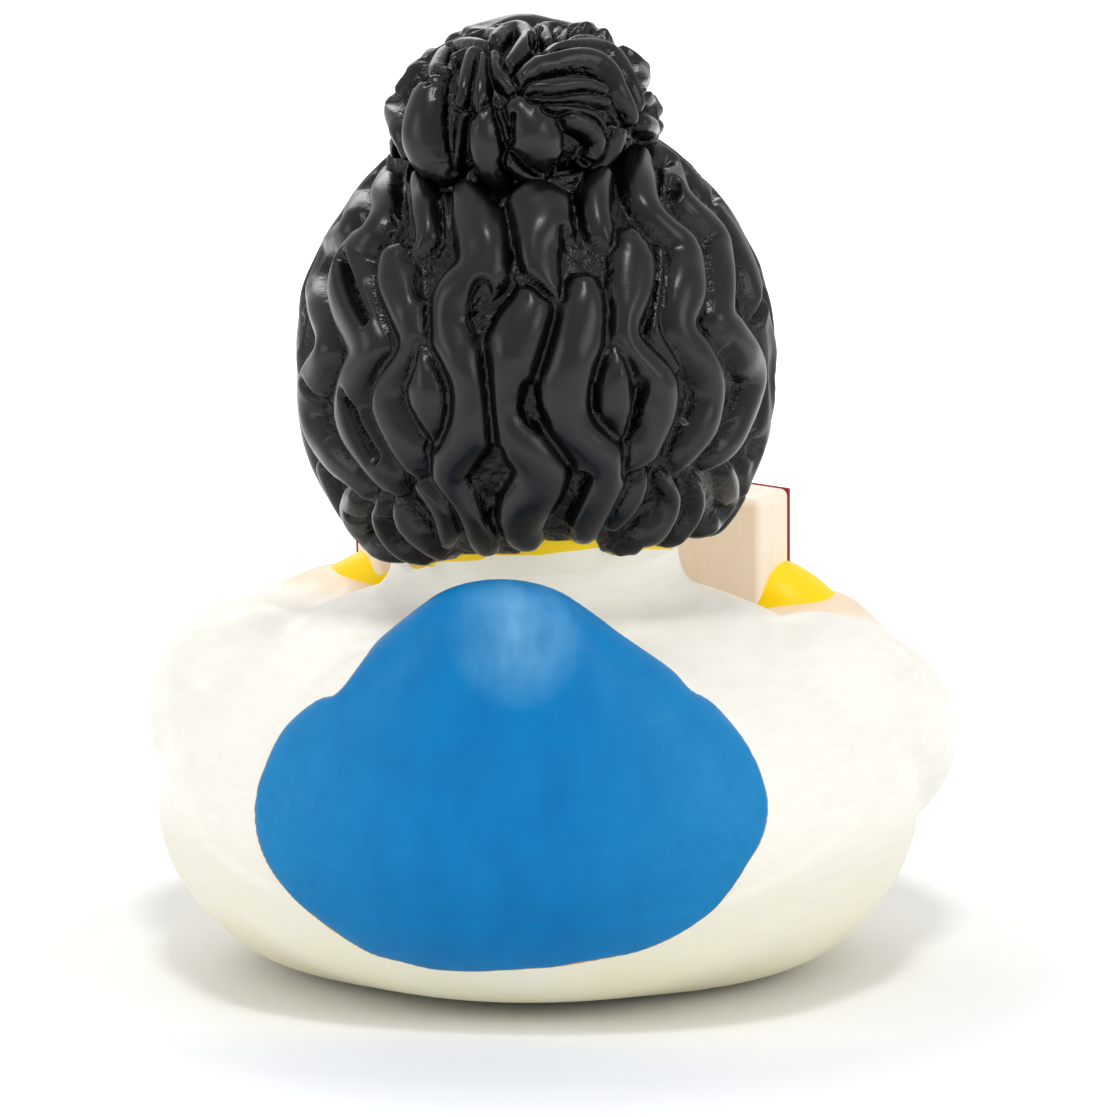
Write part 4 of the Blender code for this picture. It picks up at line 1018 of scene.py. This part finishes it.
def painted_shirt():
    """Brushed enamel over yellow vinyl: cream shirt, painted shade in peach at the cuffs, blue on the tail.

    The cream turns yellower low down, in patches. The blue is lighter towards its sides in sponge dabs,
    partly painted highlight, with a painted highlight at the tip. A fine line of bare vinyl and thinly laid
    paint parts it from the cream.
    """
    made, tree, shader = finish_of("brushed_enamel_on_vinyl", 0.45)
    if tree is None:
        return made
    streaks = noise(tree, 2.2, 4.0, (1.0, 0.35, 3.0))
    sponge = noise(tree, 0.9, 5.0, (1, 1, 1), 0.65)
    edge = named(tree, "blue")
    ragged = ranged(tree, noise(tree, 1.4, 3.0), 0.3, 0.7, -0.06, 0.10)
    line = combined(tree, "ADD", edge, ragged)
    vinyl = ranged(tree, noise(tree, 9.0, 2.0), 0.45, 0.6)
    bare_line = blended(tree, vinyl, colour("#4c6a6c"), colour("#b8912f"))
    surface = blended(tree, ranged(tree, edge, -0.05, 0.02), cream_paint(tree, streaks), bare_line)
    surface = blended(tree, ranged(tree, line, 0.08, 0.14), surface, blue_paint(tree, sponge))
    tears = ranged(tree, noise(tree, 1.5, 4.0), 0.3, 0.7, -0.25, 0.25)
    torn = combined(tree, "ADD", named(tree, "bare"), tears)
    surface = blended(tree, ranged(tree, torn, 0.0, 0.05), surface, colour("#e9bd12"))
    tree.links.new(surface, shader.inputs["Base Color"])
    tree.links.new(ranged(tree, streaks, 0.3, 0.7, 0.36, 0.5), shader.inputs["Roughness"])
    tree.links.new(ranged(tree, edge, 0.0, 0.1, 0.3, 0.14), shader.inputs["Specular IOR Level"])
    grain = blended(tree, 0.5, streaks, sponge)
    tree.links.new(bump(tree, grain, 0.012, 0.25), shader.inputs["Normal"])
    return made


def cream_paint(tree, streaks):
    """Cream with faint streaks, yellower towards the foot in patches, and painted shade in peach at the
    cuffs.
    """
    cream = blended(tree, ranged(tree, streaks, 0.35, 0.7), colour("#f5f4eb"), colour("#f2efe5"))
    place = add(tree, "ShaderNodeTexCoord").outputs["Object"]
    height = add(tree, "ShaderNodeSeparateXYZ", {0: place}).outputs["Z"]
    patches = ranged(tree, noise(tree, 12.0, 3.0), 0.2, 0.8, 0.5, 1.2)
    # The cream turns yellower in patches towards the foot
    yellower_low = combined(tree, "MULTIPLY", ranged(tree, height, 0.020, 0.0), patches)
    cream = blended(tree, yellower_low, cream, colour("#efe9c8"))
    # Painted shade in peach at the cuffs
    return blended(tree, named(tree, "cuff_shade"), cream, colour("#f0d3b0"))


def blue_paint(tree, sponge):
    """Blue with faint streaks, sponge dabs partly painted as highlight at the sides, a painted highlight on
    the tip.
    """
    brushed = noise(tree, 3.0, 5.0, (1.0, 1.0, 0.45))
    blue = blended(tree, ranged(tree, brushed, 0.3, 0.7), colour("#006fae"), colour("#0079b8"))
    place = add(tree, "ShaderNodeTexCoord").outputs["Object"]
    aside = add(tree, "ShaderNodeSeparateXYZ", {0: place}).outputs["X"]
    aside = add(tree, "ShaderNodeMath", {0: aside}, operation="ABSOLUTE").outputs[0]
    dabs = ranged(tree, sponge, 0.1, 0.9, 0.1, 0.9)
    # Lighter sponge dabs towards the sides: partly sponged paint, partly a painted highlight along the side
    # ridges
    sponge_and_side_highlight = combined(tree, "MULTIPLY", ranged(tree, aside, 0.006, 0.028), dabs)
    blue = blended(tree, sponge_and_side_highlight, blue, colour("#2c90c4"))
    # A painted highlight on the tail's tip, laid on in pale blue strokes
    tip = {"Vector": place, "Location": (0.4, 0.0, -7.9), "Scale": (220.0, 0.0, 205.0)}
    tip = add(tree, "ShaderNodeMapping", tip).outputs[0]
    away = add(tree, "ShaderNodeVectorMath", {0: tip}, operation="LENGTH").outputs["Value"]
    strokes = ranged(tree, brushed, 0.35, 0.65, 0.3, 0.8)
    painted_tip_highlight = combined(tree, "MULTIPLY", ranged(tree, away, 1.5, 0.0), strokes)
    return blended(tree, painted_tip_highlight, blue, colour("#74b0d8"))


def yellow_vinyl():
    """Soft vinyl moulded in yellow: even colour with a waxy sheen, under the shirt's cream at the neck."""
    made, tree, shader = finish_of("moulded_vinyl_yellow", 0.42, Specular_IOR_Level=0.3)
    if tree is None:
        return made
    clouds = noise(tree, 9.0, 3.0)
    yellow = blended(tree, ranged(tree, clouds, 0.3, 0.7), colour("#fbd200"), colour("#ffe00a"))
    yellow = blended(tree, ranged(tree, named(tree, "shirt"), 0.0, 0.06), yellow, colour("#f6f4ea"))
    tree.links.new(yellow, shader.inputs["Base Color"])
    tree.links.new(bump(tree, noise(tree, 0.5, 2.0), 0.01, 0.5), shader.inputs["Normal"])
    return made


def black_hair_paint():
    """Black satin enamel on the ridges. In the hollows it pooled, glossier and crinkled, and darker as
    painted shade.
    """
    made, tree, shader = finish_of("satin_enamel_black", 0.3)
    if tree is None:
        return made
    ridge = named(tree, "ridge")
    pebble = noise(tree, 0.3, 3.0)
    crinkle = noise(tree, 0.7, 4.0)
    clouds = noise(tree, 4.0, 3.0)
    black = blended(tree, ranged(tree, clouds, 0.3, 0.7), colour("#050608"), colour("#0c0e12"))
    # Painted shade: the hollows are darker than the ridges
    black = blended(tree, ranged(tree, ridge, 0.25, 0.7), colour("#020203"), black)
    tree.links.new(black, shader.inputs["Base Color"])
    tree.links.new(ranged(tree, ridge, 0.2, 0.75, 0.12, 0.29), shader.inputs["Roughness"])
    tree.links.new(ranged(tree, ridge, 0.15, 0.8, 0.22, 0.30), shader.inputs["Specular IOR Level"])
    depth = ranged(tree, ridge, 0.2, 0.6, 0.9, 0.0)
    rough = combined(tree, "MULTIPLY", crinkle, depth)
    fine = bump(tree, pebble, 0.02, 0.5)
    tree.links.new(bump(tree, rough, 0.3, 1.0, fine), shader.inputs["Normal"])
    return made


def painted_eye():
    """Gloss white enamel with a dark round middle."""
    made, tree, shader = finish_of("gloss_enamel_eye", 0.2)
    if tree is None:
        return made
    inside = ranged(tree, named(tree, "pupil"), -0.04, 0.04)
    surface = blended(tree, inside, colour("#f7f7f2"), colour("#19181a"))
    tree.links.new(surface, shader.inputs["Base Color"])
    tree.links.new(bump(tree, noise(tree, 0.8, 2.0), 0.01, 0.4), shader.inputs["Normal"])
    return made


def brushed_enamel(name, roughness, low, high, size_mm, stretch):
    """Enamel in two close tones laid on in strokes, which stand out a little."""
    made, tree, shader = finish_of(name, roughness)
    if tree is None:
        return made
    strokes = noise(tree, size_mm, 4.0, stretch)
    tone = blended(tree, ranged(tree, strokes, 0.3, 0.7), colour(low), colour(high))
    tree.links.new(tone, shader.inputs["Base Color"])
    tree.links.new(bump(tree, strokes, 0.03, 0.5), shader.inputs["Normal"])
    return made


# Studio


def seen_rays(tree):
    """1 for rays from the camera and for those mirrored or let through to it."""
    ray = add(tree, "ShaderNodeLightPath").outputs
    seen = ray["Is Camera Ray"]
    for kind in ("Is Glossy Ray", "Is Transmission Ray"):
        seen = combined(tree, "MAXIMUM", seen, ray[kind])
    return seen


def make_world():
    """White where it is seen, and a dimmer even light on the duck."""
    world = bpy.data.worlds.new("studio")
    bpy.context.scene.world = world
    world.use_nodes = True
    tree = world.node_tree
    tree.nodes.clear()
    fill = add(tree, "ShaderNodeBackground", {"Color": WHITE, "Strength": FILL})
    backdrop = add(tree, "ShaderNodeBackground", {"Color": WHITE, "Strength": 1.0})
    both = add(tree, "ShaderNodeMixShader", {0: seen_rays(tree), 1: fill.outputs[0], 2: backdrop.outputs[0]})
    add(tree, "ShaderNodeOutputWorld", {0: both.outputs[0]})


def make_lamps():
    for name, place, size, power in LAMPS:
        lamp = bpy.data.lights.new(name, "AREA")
        lamp.energy = power
        lamp.size = size
        holder = bpy.data.objects.new(name, lamp)
        holder.location = place
        holder.rotation_mode = "QUATERNION"
        holder.rotation_quaternion = (Vector(LAMPS_AIM) - Vector(place)).to_track_quat("-Z", "Y")
        bpy.context.scene.collection.objects.link(holder)


def make_floor():
    """A round white floor, just below the duck, that keeps its shadow."""
    ring = np.linspace(0, 2 * np.pi, 96, endpoint=False)
    points = np.stack((np.cos(ring) * FLOOR_RADIUS, np.sin(ring) * FLOOR_RADIUS, np.full(96, -FLOOR_GAP)), -1)
    mesh = bpy.data.meshes.new("floor")
    mesh.from_pydata(points.tolist(), [], [list(range(96))])
    floor = bpy.data.objects.new("floor", mesh)
    bpy.context.scene.collection.objects.link(floor)
    mesh.materials.append(white_sweep())


def white_sweep():
    """Matt white paper. It fades to plain white away from the duck, where the lamps' light falls off."""
    made, tree, shader = finish_of("white_sweep", 0.9)
    shader.inputs["Base Color"].default_value = colour("#f4f4f4")
    place = add(tree, "ShaderNodeTexCoord").outputs["Object"]
    away = add(tree, "ShaderNodeVectorMath", {0: place}, operation="LENGTH").outputs["Value"]
    glow = combined(tree, "MULTIPLY", seen_rays(tree), ranged(tree, away, *SHADOW_REACH))
    lifted = add(tree, "ShaderNodeEmission", {"Strength": glow})
    both = add(tree, "ShaderNodeAddShader", {0: shader.outputs[0], 1: lifted.outputs[0]})
    tree.links.new(both.outputs[0], tree.nodes["Material Output"].inputs["Surface"])
    return made


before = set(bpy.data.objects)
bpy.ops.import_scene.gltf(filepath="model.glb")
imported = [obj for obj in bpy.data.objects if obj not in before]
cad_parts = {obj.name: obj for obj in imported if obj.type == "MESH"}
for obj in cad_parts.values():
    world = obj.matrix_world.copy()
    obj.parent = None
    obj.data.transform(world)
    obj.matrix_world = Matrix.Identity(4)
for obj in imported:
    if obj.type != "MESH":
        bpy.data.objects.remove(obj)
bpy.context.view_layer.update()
bpy.context.scene.view_settings.view_transform = "Standard"
make_camera()
make_world()
make_lamps()
make_floor()
make_body()
make_hand(-1)
make_hand(1)
make_head()
make_bill()
make_eyes()
make_hair()
make_bun()
make_book()
